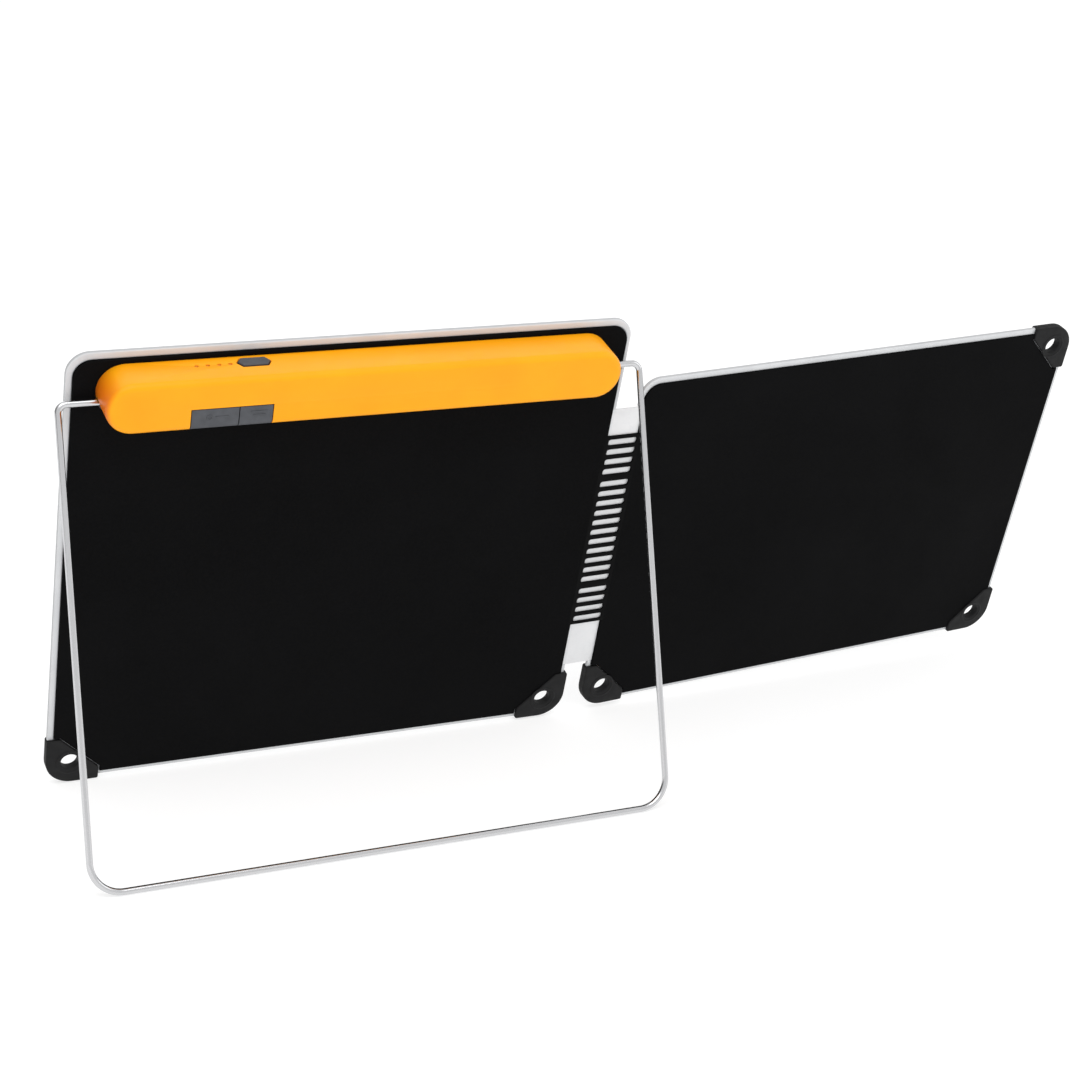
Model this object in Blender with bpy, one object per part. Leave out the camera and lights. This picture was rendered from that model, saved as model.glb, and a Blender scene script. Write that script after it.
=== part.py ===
"""Folding two-panel solar charger with a battery module on its back and a wire stand.

Every shape is drawn in the flat layout of the main panel: x runs across the
panel, y up the panel, z out of its back, all in millimetres, with z = 0 on the
back face. Left is -x and right is +x. Empties on the joint axes then lean the
panel, fold the wing and swing the stand out to the standing position. The
world origin is on the ground at the centre of the footprint, with the back of
the panels facing -Y.
"""

import math

import bmesh
import bpy
from mathutils import Matrix, Vector

MM = 0.001
FIT = 0.3                           # clearance between parts that fit together
SIDES = (("left", -1), ("right", 1))

# ---------------------------------------------------------------- standing position
LEAN = math.radians(13.22)          # main panel, back from vertical
EDGE_DROP = 3.36                    # layout origin above the lowest edge
EDGE_HEIGHT = 0.17                  # that edge above the ground
MAIN_X, MAIN_Y = -123.863, 41.953   # that edge's middle from the footprint's centre
MAIN_HINGE = (122.0, 0.0, -0.4)     # axis between main panel and hinge strip
WING_HINGE = (133.6, 0.0, -0.4)     # axis between hinge strip and wing
FOLD = math.radians(4.68)           # total forward fold
SKEW = math.radians(0.238)          # wing's own small turn in its plane
STAND_Y, STAND_Z = 189.8, 4.0       # stand pivot
STAND_SWING = math.radians(29.82)

# ---------------------------------------------------------------- scene reset
for old in list(bpy.data.objects):
    bpy.data.objects.remove(old, do_unlink=True)


# ---------------------------------------------------------------- materials
def material(name, colour, roughness, metallic=0.0):
    mat = bpy.data.materials.new(name)
    mat.use_nodes = True
    shader = mat.node_tree.nodes["Principled BSDF"]
    shader.inputs["Base Color"].default_value = (*colour, 1.0)
    shader.inputs["Roughness"].default_value = roughness
    shader.inputs["Metallic"].default_value = metallic
    return mat


RIM_MAT = material("rim_pale_grey", colour=(0.72, 0.72, 0.72), roughness=0.4)
BACK_MAT = material("back_black", colour=(0.012, 0.012, 0.013), roughness=0.55)
CELL_MAT = material("cell_dark_blue", colour=(0.01, 0.015, 0.05), roughness=0.25)
FACE_MAT = material("face_sheet_clear", colour=(0.05, 0.06, 0.09), roughness=0.15)
RUBBER_MAT = material("guard_rubber", colour=(0.025, 0.025, 0.027), roughness=0.7)
ORANGE_MAT = material("module_orange", colour=(1.0, 0.36, 0.02), roughness=0.4)
GREY_MAT = material("control_grey", colour=(0.13, 0.135, 0.145), roughness=0.6)
TRAY_MAT = material("tray_dark", colour=(0.04, 0.04, 0.045), roughness=0.6)
CHROME_MAT = material("wire_chrome", colour=(0.75, 0.75, 0.76), roughness=0.15, metallic=1.0)
STEEL_MAT = material("screw_steel", colour=(0.5, 0.5, 0.52), roughness=0.35, metallic=1.0)
BOARD_MAT = material("board_green", colour=(0.01, 0.12, 0.05), roughness=0.5)
BATTERY_MAT = material("battery_wrap", colour=(0.1, 0.16, 0.4), roughness=0.4)
LIGHT_MAT = material("light_pipe", colour=(0.9, 0.35, 0.1), roughness=0.2)
COPPER_MAT = material("lead_copper", colour=(0.7, 0.35, 0.2), roughness=0.4, metallic=1.0)
FERRITE_MAT = material("ferrite", colour=(0.06, 0.06, 0.06), roughness=0.6)


# ---------------------------------------------------------------- joint axes
def empty(name, parent, location, angles, order="XYZ"):
    axis = bpy.data.objects.new(name, None)
    bpy.context.collection.objects.link(axis)
    axis.parent = parent
    axis.location = [v * MM for v in location]
    axis.rotation_mode = order
    axis.rotation_euler = angles
    return axis


lean_frame = empty(
    "lean_frame",
    None,
    (MAIN_X, MAIN_Y - EDGE_DROP * math.sin(LEAN), EDGE_DROP * math.cos(LEAN) + EDGE_HEIGHT),
    (math.pi / 2 + LEAN, 0, 0),
)
comb_axis = empty("comb_axis", lean_frame, MAIN_HINGE, (0, FOLD / 2, 0))
wing_axis = empty(
    "wing_axis",
    comb_axis,
    [wing - main for main, wing in zip(MAIN_HINGE, WING_HINGE)],
    (0, FOLD / 2, SKEW),
    "ZYX",
)
stand_axis = empty("stand_axis", lean_frame, (0, STAND_Y, STAND_Z), (-STAND_SWING, 0, 0))

FLAT_ORIGIN = {                     # where each axis lies in the flat layout
    lean_frame: Vector((0, 0, 0)),
    comb_axis: Vector(MAIN_HINGE),
    wing_axis: Vector(WING_HINGE),
    stand_axis: Vector((0, STAND_Y, STAND_Z)),
}


# ---------------------------------------------------------------- flat outlines
def rectangle(x, y):
    return [(x[0], y[0]), (x[1], y[0]), (x[1], y[1]), (x[0], y[1])]


def arc(centre_x, centre_y, radius, start, end, steps):
    """Points along an arc, with start and end in degrees."""
    angles = [math.radians(start + (end - start) * k / steps) for k in range(steps + 1)]
    return [(centre_x + radius * math.cos(a), centre_y + radius * math.sin(a)) for a in angles]


def circle(centre, radius, sides=16):
    return arc(*centre, radius, 0, 360, sides)[:-1]


# ---------------------------------------------------------------- shapes
# A shape is (rings of 3D points, whether the last ring joins the first).
def loft(sections, axis="z", close=False):
    """A shape through (outline, distance along the axis) pairs. An outline's points
    are (y, z) for axis x, (x, z) for axis y and (x, y) for axis z."""
    place = {
        "x": lambda u, v, along: (along, u, v),
        "y": lambda u, v, along: (u, along, v),
        "z": lambda u, v, along: (u, v, along),
    }[axis]
    return [[place(u, v, along) for u, v in points] for points, along in sections], close


def prism(points, axis, span):
    return loft([(points, along) for along in span], axis)


def box(x, y, z):
    return prism(rectangle(x, y), "z", z)


def tube(centre, inner, outer, axis, span):
    corners = ((outer, span[0]), (outer, span[1]), (inner, span[1]), (inner, span[0]))
    return loft([(circle(centre, radius), along) for radius, along in corners], axis, close=True)


def add_shape(bm, rings, close):
    """Joins rings of equal length; closed round on itself, or capped at both ends."""
    rows = [[bm.verts.new(p) for p in ring] for ring in rings]
    pairs = list(zip(rows, rows[1:]))
    if close:
        pairs.append((rows[-1], rows[0]))
    for low, high in pairs:
        for i in range(len(low)):
            j = (i + 1) % len(low)
            bm.faces.new((low[i], low[j], high[j], high[i]))
    if not close:
        bm.faces.new(rows[0][::-1])
        bm.faces.new(rows[-1])


# ---------------------------------------------------------------- objects and modifiers
def solid(name, shapes, mat, axis=lean_frame, smooth=None):
    """One object from shapes drawn in the flat layout, hung on its axis. Edges
    sharper than smooth, in degrees, stay sharp; None shades the object flat."""
    bm = bmesh.new()
    for rings, close in shapes:
        add_shape(bm, rings, close)
    bmesh.ops.recalc_face_normals(bm, faces=bm.faces)
    to_axis = Matrix.Scale(MM, 4) @ Matrix.Translation(-FLAT_ORIGIN[axis])
    bmesh.ops.transform(bm, matrix=to_axis, verts=bm.verts)
    mesh = bpy.data.meshes.new(name)
    bm.to_mesh(mesh)
    bm.free()
    mesh.materials.append(mat)
    obj = bpy.data.objects.new(name, mesh)
    bpy.context.collection.objects.link(obj)
    obj.parent = axis
    if smooth:
        mesh.shade_smooth()
        mesh.set_sharp_from_angle(angle=math.radians(smooth))
    return obj


def boolean(target, name, shapes, mat, axis=lean_frame, operation="DIFFERENCE"):
    """Cuts a hidden helper of these shapes from the target, or joins it on."""
    helper = solid(name, shapes, mat, axis)
    helper.hide_render = True
    helper.display_type = "WIRE"
    mod = target.modifiers.new(operation.lower() + "_" + name, "BOOLEAN")
    mod.operation = operation
    mod.object = helper
    mod.solver = "EXACT"


def bevel(obj, width, segments, angle=50):
    mod = obj.modifiers.new("edge_rounding", "BEVEL")
    mod.width = width * MM
    mod.segments = segments
    mod.limit_method = "ANGLE"
    mod.angle_limit = math.radians(angle)


# ---------------------------------------------------------------- panel dimensions
MAIN = (-122.1, -2.1, 122.1, 209.0)     # outer rectangle, x0 y0 x1 y1
WING = (133.93, -0.7, 376.5, 177.6)     # outer rectangle when unfolded
PANEL_T = 2.0                           # thickness of the pale rim
COVER_Z = (-0.3, 1.0)                   # the black back sheet stands proud of the rim
CELL_Z = (-1.4, -0.6)                   # the cells lie level with the rim's shelf
FACE_Z = (-PANEL_T + 0.05, -1.7)
RIM_WIDTH = 2.1                         # visible width of the rim
CELL_INSET = 5.3
OUTER_R = 9.5                           # corner radius without a guard
CORNER_STEPS = 5

# A corner under a guard is cut off along across + up = diagonal, as measured in from
# the sharp corner. The cut stops at leg along each edge, or runs through if leg is None.
RIM_LEG, RIM_DIAGONAL = 20.5, 26.0
GUARD_LEG, GUARD_DIAGONAL = 23.4, 27.5  # length along each edge, inner diagonal
SHELF_CUT = (None, RIM_DIAGONAL + 6.4)
CELL_CUT = (None, RIM_DIAGONAL + 6.85)
FACE_CUT = (RIM_LEG + 1.2, RIM_DIAGONAL + 1.7)
COVER_CUT = (GUARD_LEG - FIT, GUARD_DIAGONAL + 0.42)    # clear of the guards' inner edge

RIM_SECTION = (
    # inset, inset under a guard (None on the inner edge of the shelf), z
    (0.0, 0.0, -1.4),
    (0.0, 0.0, -0.6),
    (0.18, 0.1, -0.18),
    (0.6, 0.25, 0.0),
    (1.9, 0.9, 0.0),
    (1.9, 0.9, CELL_Z[1]),
    (5.0, None, CELL_Z[1]),
    (5.0, None, CELL_Z[0]),
    (1.9, 0.9, CELL_Z[0]),
    (1.9, 0.9, -PANEL_T),
    (0.6, 0.25, -PANEL_T),
    (0.18, 0.1, -PANEL_T + 0.18),
)

GUARD_Z = (-2.9, 1.6)
GUARD_R = 12.0
GUARD_CHAMFER = 0.7
POCKET_EASE = 0.12                      # pocket's diagonal nearer the corner than the rim's
POCKET_REACH = GUARD_LEG + 20           # takes the pocket well past the guard
EYELET_AT = 9.8                         # eyelet centre from both edges of the rim
EYELET_R = 3.8
GUARDS = {
    # panel: {corner: (name, overhang beyond the rim across, and up)}
    "main": {
        "lower_left": ("main_corner_left", 0.7, 1.2),
        "lower_right": ("main_corner_right", 1.2, 0.7),
    },
    "wing": {
        "lower_left": ("wing_corner_inner", 0.8, 1.0),
        "lower_right": ("wing_corner_lower", 1.2, 0.7),
        "upper_right": ("wing_corner_upper", 0.7, 0.7),
    },
}

WEB_Y = (25.0, 164.3)                   # the pale strip between the panels
COMB_Y = (49.0, 151.0)                  # the black fingers laid over it
NOTCH_FIT = 0.4                         # hinge notch beyond each end of the web
NOTCH_Z = (-12, 6)
SEAT_Z = (-1.55, 6)
FLANGE_WIDTH = 2.1


# ---------------------------------------------------------------- panel outlines
def from_corner(rect, corner, points):
    """Layout points from (across, up) distances measured in from a corner."""
    x0, y0, x1, y1 = rect
    corner_x, sign_x = (x0, 1) if "left" in corner else (x1, -1)
    corner_y, sign_y = (y0, 1) if "lower" in corner else (y1, -1)
    return [(corner_x + sign_x * across, corner_y + sign_y * up) for across, up in points]


def round_corner(inset):
    radius = max(OUTER_R - inset, 0.6)
    return arc(inset + radius, inset + radius, radius, 180, 270, CORNER_STEPS)


def cut_corner(inset, leg, diagonal):
    """Has as many points as a round corner, so that the two loft together."""
    if leg is None:
        run = diagonal - 2 * inset
        shifts = [run * k / CORNER_STEPS for k in range(CORNER_STEPS + 1)]
        return [(inset + shift, diagonal - inset - shift) for shift in shifts]
    near = diagonal - leg
    shifts = [(leg - near) * k / (CORNER_STEPS - 2) for k in range(CORNER_STEPS - 1)]
    return [(inset, leg)] + [(near + shift, leg - shift) for shift in shifts] + [(leg, inset)]


def outline(rect, inset, cut, guarded):
    """The panel's outline moved in by inset, counter-clockwise from the lower left.
    Corners in guarded take the (leg, diagonal) cut and the others are round."""
    points = []
    for corner in ("lower_left", "lower_right", "upper_right", "upper_left"):
        local = cut_corner(inset, *cut) if corner in guarded else round_corner(inset)
        if corner in ("lower_right", "upper_left"):
            local.reverse()
        points += from_corner(rect, corner, local)
    return points


# ---------------------------------------------------------------- the two panels
def rim_frame(name, rect, guarded, axis):
    """The pale rim: a thin flat bead with a shelf inside that carries the sheets."""
    sections = []
    for inset, guard_inset, z in RIM_SECTION:
        if guard_inset is None:
            cut = SHELF_CUT
        else:
            cut = (RIM_LEG + guard_inset, RIM_DIAGONAL + guard_inset * math.sqrt(2))
        sections.append((outline(rect, inset, cut, guarded), z))
    return solid(name, [loft(sections, close=True)], RIM_MAT, axis, smooth=40)


def guard(name, rect, corner, over_x, over_y, axis):
    """A rubber corner guard: a folded-over boot with an eyelet right through it."""
    leg_x, leg_y = GUARD_LEG - over_x, GUARD_LEG - over_y
    shape = [
        (leg_x, -over_y + GUARD_CHAMFER),
        (leg_x, GUARD_DIAGONAL - leg_x),
        (GUARD_DIAGONAL - leg_y, leg_y),
        (-over_x + GUARD_CHAMFER, leg_y),
        (-over_x, leg_y - GUARD_CHAMFER),
        *arc(-over_x + GUARD_R, -over_y + GUARD_R, GUARD_R, 180, 270, 6),
        (leg_x - GUARD_CHAMFER, -over_y),
    ]
    shapes = [prism(from_corner(rect, corner, shape), "z", GUARD_Z)]
    body = solid(name, shapes, RUBBER_MAT, axis, smooth=35)
    bevel(body, width=0.6, segments=2, angle=60)

    # the rim's corner sits in a pocket with a clearance all round
    near = RIM_DIAGONAL - RIM_LEG - POCKET_EASE
    far = RIM_LEG - FIT
    pocket = [
        (-FIT, far), (near, far), (far, near), (far, -FIT),
        (POCKET_REACH, -FIT), (POCKET_REACH, POCKET_REACH), (-FIT, POCKET_REACH),
    ]
    shapes = [prism(from_corner(rect, corner, pocket), "z", (-PANEL_T - FIT, FIT))]
    boolean(body, name + "_pocket", shapes, RUBBER_MAT, axis)

    centre = from_corner(rect, corner, [(EYELET_AT, EYELET_AT)])[0]
    shapes = [prism(circle(centre, EYELET_R, 24), "z", (-20, 20))]
    boolean(body, name + "_eyelet", shapes, RUBBER_MAT, axis)


def panel(side, rect, axis, notch_x, seat_x, past_x):
    """One panel with its guards and its half of the hinge. notch_x and seat_x are the
    walls of the notch in the rim and the seat in the back cover; both cuts run from
    there out to past_x, beyond the panel's edge."""
    guards = GUARDS[side]

    def plate(name, inset, cut, z, mat):
        shapes = [prism(outline(rect, inset, cut, guards), "z", z)]
        return solid(side + name, shapes, mat, axis)

    frame = rim_frame(side + "_frame", rect, guards, axis)
    cover = plate("_back_cover", RIM_WIDTH, COVER_CUT, COVER_Z, BACK_MAT)
    plate("_cell_array", CELL_INSET, CELL_CUT, CELL_Z, CELL_MAT)
    plate("_face_sheet", RIM_WIDTH, FACE_CUT, FACE_Z, FACE_MAT)

    notch_y = (WEB_Y[0] - NOTCH_FIT, WEB_Y[1] + NOTCH_FIT)
    notch = box(sorted((notch_x, past_x)), notch_y, NOTCH_Z)
    boolean(frame, side + "_hinge_notch", [notch], RIM_MAT, axis)
    seat_y = (COMB_Y[0] - FIT, COMB_Y[1] + FIT)
    seat = box(sorted((seat_x, past_x)), seat_y, SEAT_Z)
    boolean(cover, side + "_hinge_seat", [seat], RIM_MAT, axis)

    outward = 1 if past_x > seat_x else -1
    flange_x = sorted(seat_x + outward * gap for gap in (FIT, FIT + FLANGE_WIDTH))
    shapes = [box(flange_x, COMB_Y, COVER_Z)]
    flange = solid("hinge_flange_" + side, shapes, RUBBER_MAT, axis)
    bevel(flange, width=0.2, segments=1)

    for corner, (name, over_x, over_y) in guards.items():
        guard(name, rect, corner, over_x, over_y, axis)


panel("main", MAIN, lean_frame, notch_x=121.2, seat_x=117.6, past_x=130.0)
panel("wing", WING, wing_axis, notch_x=135.1, seat_x=138.43, past_x=126.0)

# ---------------------------------------------------------------- hinge strip
WEB_T = 1.0
COMB_X = (MAIN_HINGE[0] - 0.2, WING_HINGE[0] + 0.2)
COMB_Z = (0.4, 1.0)
SLOT_W = 3.2
SLOT_END = 1.1                      # slot end from the comb's long edges
FIRST_SLOT = 3.3                    # first slot's centre below the comb's upper end
SLOT_GROUPS = ((4, 5.13), (11, 5.17), (4, 5.17))    # count and pitch, from the top down
WIDE_PITCH = 6.6                    # from group to group, across a wide finger
LEAD_X, LEAD_Z = (124.4, 131.2), (-1.45, -1.2)
LEAD_HALF = 1.3                     # half width along y


def slot_centres():
    """The y of each slot, as one list per group."""
    groups = []
    start = COMB_Y[1] - FIRST_SLOT
    for count, pitch in SLOT_GROUPS:
        groups.append([start - pitch * k for k in range(count)])
        start = groups[-1][-1] - WIDE_PITCH
    return groups


def slot(y):
    radius = SLOT_W / 2
    end = SLOT_END + radius
    points = arc(COMB_X[0] + end, y, radius, 90, 270, 4)
    points += arc(COMB_X[1] - end, y, radius, -90, 90, 4)
    return prism(points, "z", (-1, 3))


def hinge_strip():
    # the web rounds each axis, so that it clears both rims while it turns
    ends = arc(MAIN_HINGE[0], MAIN_HINGE[2], WEB_T / 2, 90, 270, 6)
    ends += arc(WING_HINGE[0], WING_HINGE[2], WEB_T / 2, -90, 90, 6)
    solid("hinge_web", [prism(ends, "y", WEB_Y)], RIM_MAT, comb_axis, smooth=40)

    groups = slot_centres()
    comb = solid("hinge_comb", [box(COMB_X, COMB_Y, COMB_Z)], RUBBER_MAT, comb_axis)
    slots = [slot(y) for group in groups for y in group]
    boolean(comb, "comb_slots", slots, RUBBER_MAT, comb_axis)

    # a lead lies in front of each wide finger
    for place, above, below in zip(("upper", "lower"), groups, groups[1:]):
        y = (above[-1] + below[0]) / 2
        lead = box(LEAD_X, (y - LEAD_HALF, y + LEAD_HALF), LEAD_Z)
        solid("hinge_lead_" + place, [lead], COPPER_MAT, comb_axis)


hinge_strip()

# ---------------------------------------------------------------- module cover
MODULE_X = 110.6                    # half length
MODULE_Y = (182.4, 204.7)
MODULE_Z = (1.3, 19.1)
MODULE_WALL = 1.6
MODULE_ROUND = 2.8                  # rounding of the outer rim
INNER_ROUND = MODULE_ROUND - 1.0    # the same inside

BUTTON_X, BUTTON_Z = (-54.8, -41.0), (3.3, 9.2)
LED_X = [-72.4 + 4.6 * k for k in range(4)]
LED_Z = 6.8
LED_HOLE_R = 0.85
UPPER_WALL_Y = (200.4, 208)         # cuts through the module's upper wall
PORT_X = (-75.5, -56.7, -42.3)      # left edge, split, right edge
PORT_Y = 192.0                      # upper edge of the port flaps
PORT_Z = 9.2                        # the flaps wrap down the wall to here
BORE_R, BORE_X = 2.8, (100, 116)    # pivot bores


def mirrored_span(side, near, far):
    return sorted((side * near, side * far))


def stadium(inset):
    middle = sum(MODULE_Y) / 2
    half = (MODULE_Y[1] - MODULE_Y[0]) / 2
    straight = MODULE_X - half
    right = arc(straight, middle, half - inset, -90, 90, 8)
    return right + arc(-straight, middle, half - inset, 90, 270, 8)


def hexagon(grow):
    """The button's outline: a long hexagon with its points left and right."""
    (left, right), (low, high) = BUTTON_X, BUTTON_Z
    middle = (low + high) / 2
    shoulder = (high - low) / 2 * 0.6 - grow * 0.4
    return [
        (left - grow * 1.2, middle),
        (left + shoulder, low - grow),
        (right - shoulder, low - grow),
        (right + grow * 1.2, middle),
        (right - shoulder, high + grow),
        (left + shoulder, high + grow),
    ]


def module_cover():
    """An orange shell, open towards the panel."""
    base, top = MODULE_Z
    outer = [(stadium(0), base)]
    for k in range(5):
        angle = math.pi / 2 * k / 4
        inset = MODULE_ROUND * (1 - math.cos(angle))
        outer.append((stadium(inset), top - MODULE_ROUND * (1 - math.sin(angle))))
    inner = [(stadium(MODULE_WALL), base)]
    for part in (0, 0.3, 1):
        drop = INNER_ROUND * (1 if part == 0 else 0.3 if part == 0.3 else 0)
        inner.append((stadium(MODULE_WALL + INNER_ROUND * part), top - MODULE_WALL - drop))
    cover = solid("module_cover", [loft(outer[::-1] + inner)], ORANGE_MAT, smooth=40)

    window = prism(hexagon(FIT), "y", UPPER_WALL_Y)
    boolean(cover, "button_window", [window], GREY_MAT)
    holes = [prism(circle((x, LED_Z), LED_HOLE_R, 10), "y", UPPER_WALL_Y) for x in LED_X]
    boolean(cover, "light_holes", holes, GREY_MAT)
    bore = circle((STAND_Y, STAND_Z), BORE_R)
    bores = [prism(bore, "x", mirrored_span(sign, *BORE_X)) for _, sign in SIDES]
    boolean(cover, "pivot_bores", bores, GREY_MAT)
    port = box((PORT_X[0] - FIT, PORT_X[2] + FIT), (178, PORT_Y + FIT), (PORT_Z - FIT, 22))
    boolean(cover, "port_window", [port], GREY_MAT)


module_cover()

# ---------------------------------------------------------------- controls and flaps
BUTTON_SECTIONS = (
    # outward growth of the hexagon, y
    (1.0, 201.6), (1.0, 202.6),                 # collar behind the wall
    (0.0, 202.6), (0.0, 205.0), (-0.4, 205.35),     # cap
)
PIPE_Y, PIPE_MARGIN, PIPE_HALF = (200.0, 202.3), 1.6, 0.9   # bar past end pins, half height
PIN_R, PIN_Y = 0.55, (200.9, 204.65)
FLAP_T = 1.3
FLAP_BEND = 3.0                     # inner chamfer, from the outer faces
FLAP_GAP = 0.15                     # each flap from the split


def power_button():
    """A cap that stands proud of the wall, with a collar behind it."""
    sections = [(hexagon(grow), y) for grow, y in BUTTON_SECTIONS]
    solid("power_button", [loft(sections, "y")], GREY_MAT)


def light_pipe():
    """Four short pins on one bar."""
    bar_x = (LED_X[0] - PIPE_MARGIN, LED_X[-1] + PIPE_MARGIN)
    bar = box(bar_x, PIPE_Y, (LED_Z - PIPE_HALF, LED_Z + PIPE_HALF))
    pipe = solid("light_pipe", [bar], LIGHT_MAT)
    pins = [prism(circle((x, LED_Z), PIN_R, 10), "y", PIN_Y) for x in LED_X]
    boolean(pipe, "light_pipe_pins", pins, LIGHT_MAT, operation="UNION")


def port_flaps():
    """Two flaps, each an angle that covers the module's back face and lower wall."""
    wall, top = MODULE_Y[0], MODULE_Z[1]
    section = [
        (PORT_Y, top),
        *arc(wall + MODULE_ROUND, top - MODULE_ROUND, MODULE_ROUND, 90, 180, 4),
        (wall, PORT_Z),
        (wall + FLAP_T, PORT_Z),
        (wall + FLAP_T, top - FLAP_BEND),
        (wall + FLAP_BEND, top - FLAP_T),
        (PORT_Y, top - FLAP_T),
    ]
    left, split, right = PORT_X
    for side, span in (("left", (left, split - FLAP_GAP)), ("right", (split + FLAP_GAP, right))):
        solid("port_flap_" + side, [prism(section, "x", span)], GREY_MAT, smooth=40)


power_button()
light_pipe()
port_flaps()

# ---------------------------------------------------------------- inside the module
# boxes are x, y and z spans
TRAY = ((-97, 97), (184.5, 200.3), (MODULE_Z[0], 3.0))
TRAY_RIBS = (                       # one at each end of the battery
    ((-14.0, -12.8), (186, 200), (2.0, 8.0)),
    ((95.2, 96.4), (186, 200), (2.0, 8.0)),
)
BATTERY = ((-11.8, 94.2), (185.2, 201.6), (3.4, 13.4))
BOARD = ((-96, -19), (184.8, 200.2), (8.5, 9.7))
SWITCH = ((-50.9, -44.9), (196.6, 200.4), (4.4, 8.1))
INDUCTOR = ((-40.5, -32.5), (191.0, 199.0), (10.0, 14.0))
CAPACITOR_AT, CAPACITOR_R, CAPACITOR_Z = (-83.0, 190.0), 3.0, (10.0, 16.0)

POSTS = ((-90.0, 196.5), (-26.0, 196.5))    # screw posts under the board, x y
POST_R, POST_Z = 2.6, (2.0, 8.1)
SCREW_HOLE_R, SCREW_HOLE_Z = 1.3, (4.0, 10.0)
BOARD_HOLE_R, BOARD_HOLE_Z = 1.6, (6, 13)
SCREW_PROFILE = ((1.0, 4.6), (1.0, 10.0), (2.2, 10.0), (2.2, 11.0), (1.6, 11.4))  # radius, z

SOCKETS = (
    # name, x centre, z centre, width, height, depth
    ("usb_output_socket", -66.6, 13.2, 13.2, 5.8, 13.0),
    ("micro_usb_socket", -49.4, 11.8, 8.0, 3.2, 6.0),
)
SOCKET_MOUTH = 185.0                # y of the open end
SOCKET_WALL, SOCKET_END = 0.4, 1.0  # thickness of the sides and of the closed end


def post_bars(radius, z, sides):
    """A round bar on each post's centre."""
    return [prism(circle(centre, radius, sides), "z", z) for centre in POSTS]


def module_tray():
    tray = solid("module_tray", [box(*TRAY)], TRAY_MAT)
    raised = post_bars(POST_R, POST_Z, 16) + [box(*rib) for rib in TRAY_RIBS]
    boolean(tray, "tray_posts", raised, TRAY_MAT, operation="UNION")
    holes = post_bars(SCREW_HOLE_R, SCREW_HOLE_Z, 12)
    boolean(tray, "tray_screw_holes", holes, TRAY_MAT)


def circuit_board():
    board = solid("circuit_board", [box(*BOARD)], BOARD_MAT)
    boolean(board, "board_holes", post_bars(BOARD_HOLE_R, BOARD_HOLE_Z, 12), BOARD_MAT)
    for number, centre in enumerate(POSTS, 1):
        sections = [(circle(centre, radius, 12), z) for radius, z in SCREW_PROFILE]
        solid(f"board_screw_{number}", [loft(sections)], STEEL_MAT, smooth=40)


def battery():
    cell = solid("battery_cell", [box(*BATTERY)], BATTERY_MAT, smooth=40)
    bevel(cell, width=2.2, segments=3)


def socket(name, x, z, width, height, depth):
    """A metal shell, open down the panel."""
    end = SOCKET_MOUTH + depth
    sections = []
    for inset, y in (
        (0, end), (0, SOCKET_MOUTH), (SOCKET_WALL, SOCKET_MOUTH), (SOCKET_WALL, end - SOCKET_END),
    ):
        half_x, half_z = width / 2 - inset, height / 2 - inset
        sections.append((rectangle((x - half_x, x + half_x), (z - half_z, z + half_z)), y))
    solid(name, [loft(sections, "y")], STEEL_MAT)


def board_parts():
    solid("tact_switch", [box(*SWITCH)], TRAY_MAT)
    inductor = solid("power_inductor", [box(*INDUCTOR)], FERRITE_MAT)
    bevel(inductor, width=0.8, segments=1)
    can = prism(circle(CAPACITOR_AT, CAPACITOR_R), "z", CAPACITOR_Z)
    solid("filter_capacitor", [can], STEEL_MAT, smooth=40)


module_tray()
circuit_board()
battery()
for row in SOCKETS:
    socket(*row)
board_parts()

# ---------------------------------------------------------------- wire stand
STAND_TOP, STAND_FOOT = 126.06, 127.82      # half widths of the wire
STAND_LENGTH = 194.04
WIRE_R = 1.4
WIRE_END = 102.8                    # x of the wire's ends, on the pivot axis
BEND_TOP, BEND_FOOT = 3.6, 13.0     # bend radii
RING_R = (1.7, 2.5)                 # bore and outside of the bushes and clips
BUSH_X, CLIP_X = (105.8, 109.4), (103.6, 104.8)


def pivot_rings(name, span, mat, axis):
    """A matching pair of short tubes on the stand's pivot."""
    for side, sign in SIDES:
        ring = tube((STAND_Y, STAND_Z), *RING_R, "x", mirrored_span(sign, *span))
        solid(f"{name}_{side}", [ring], mat, axis, smooth=40)


def wire_path():
    """From the right end out, down and across the foot to the left end, pivot at y = 0."""
    splay = math.degrees(math.atan2(STAND_FOOT - STAND_TOP, STAND_LENGTH))
    half = [(WIRE_END, 0.0)]
    half += arc(STAND_TOP - BEND_TOP, -BEND_TOP, BEND_TOP, 90, splay, 5)
    half += arc(STAND_FOOT - BEND_FOOT, BEND_FOOT - STAND_LENGTH, BEND_FOOT, splay, -90, 7)
    return half + [(-x, y) for x, y in half[::-1]]


def stand_wire():
    curve = bpy.data.curves.new("stand_wire", "CURVE")
    curve.dimensions = "3D"
    curve.bevel_depth = WIRE_R * MM
    curve.bevel_resolution = 3
    curve.use_fill_caps = True
    path = wire_path()
    spline = curve.splines.new("POLY")
    spline.points.add(len(path) - 1)
    for point, (x, y) in zip(spline.points, path):
        point.co = (x * MM, y * MM, 0, 1)
    curve.materials.append(CHROME_MAT)
    wire = bpy.data.objects.new("stand_wire", curve)
    bpy.context.collection.objects.link(wire)
    wire.parent = stand_axis


pivot_rings("pivot_bush", BUSH_X, GREY_MAT, lean_frame)
stand_wire()
pivot_rings("stand_clip", CLIP_X, STEEL_MAT, stand_axis)
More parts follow.
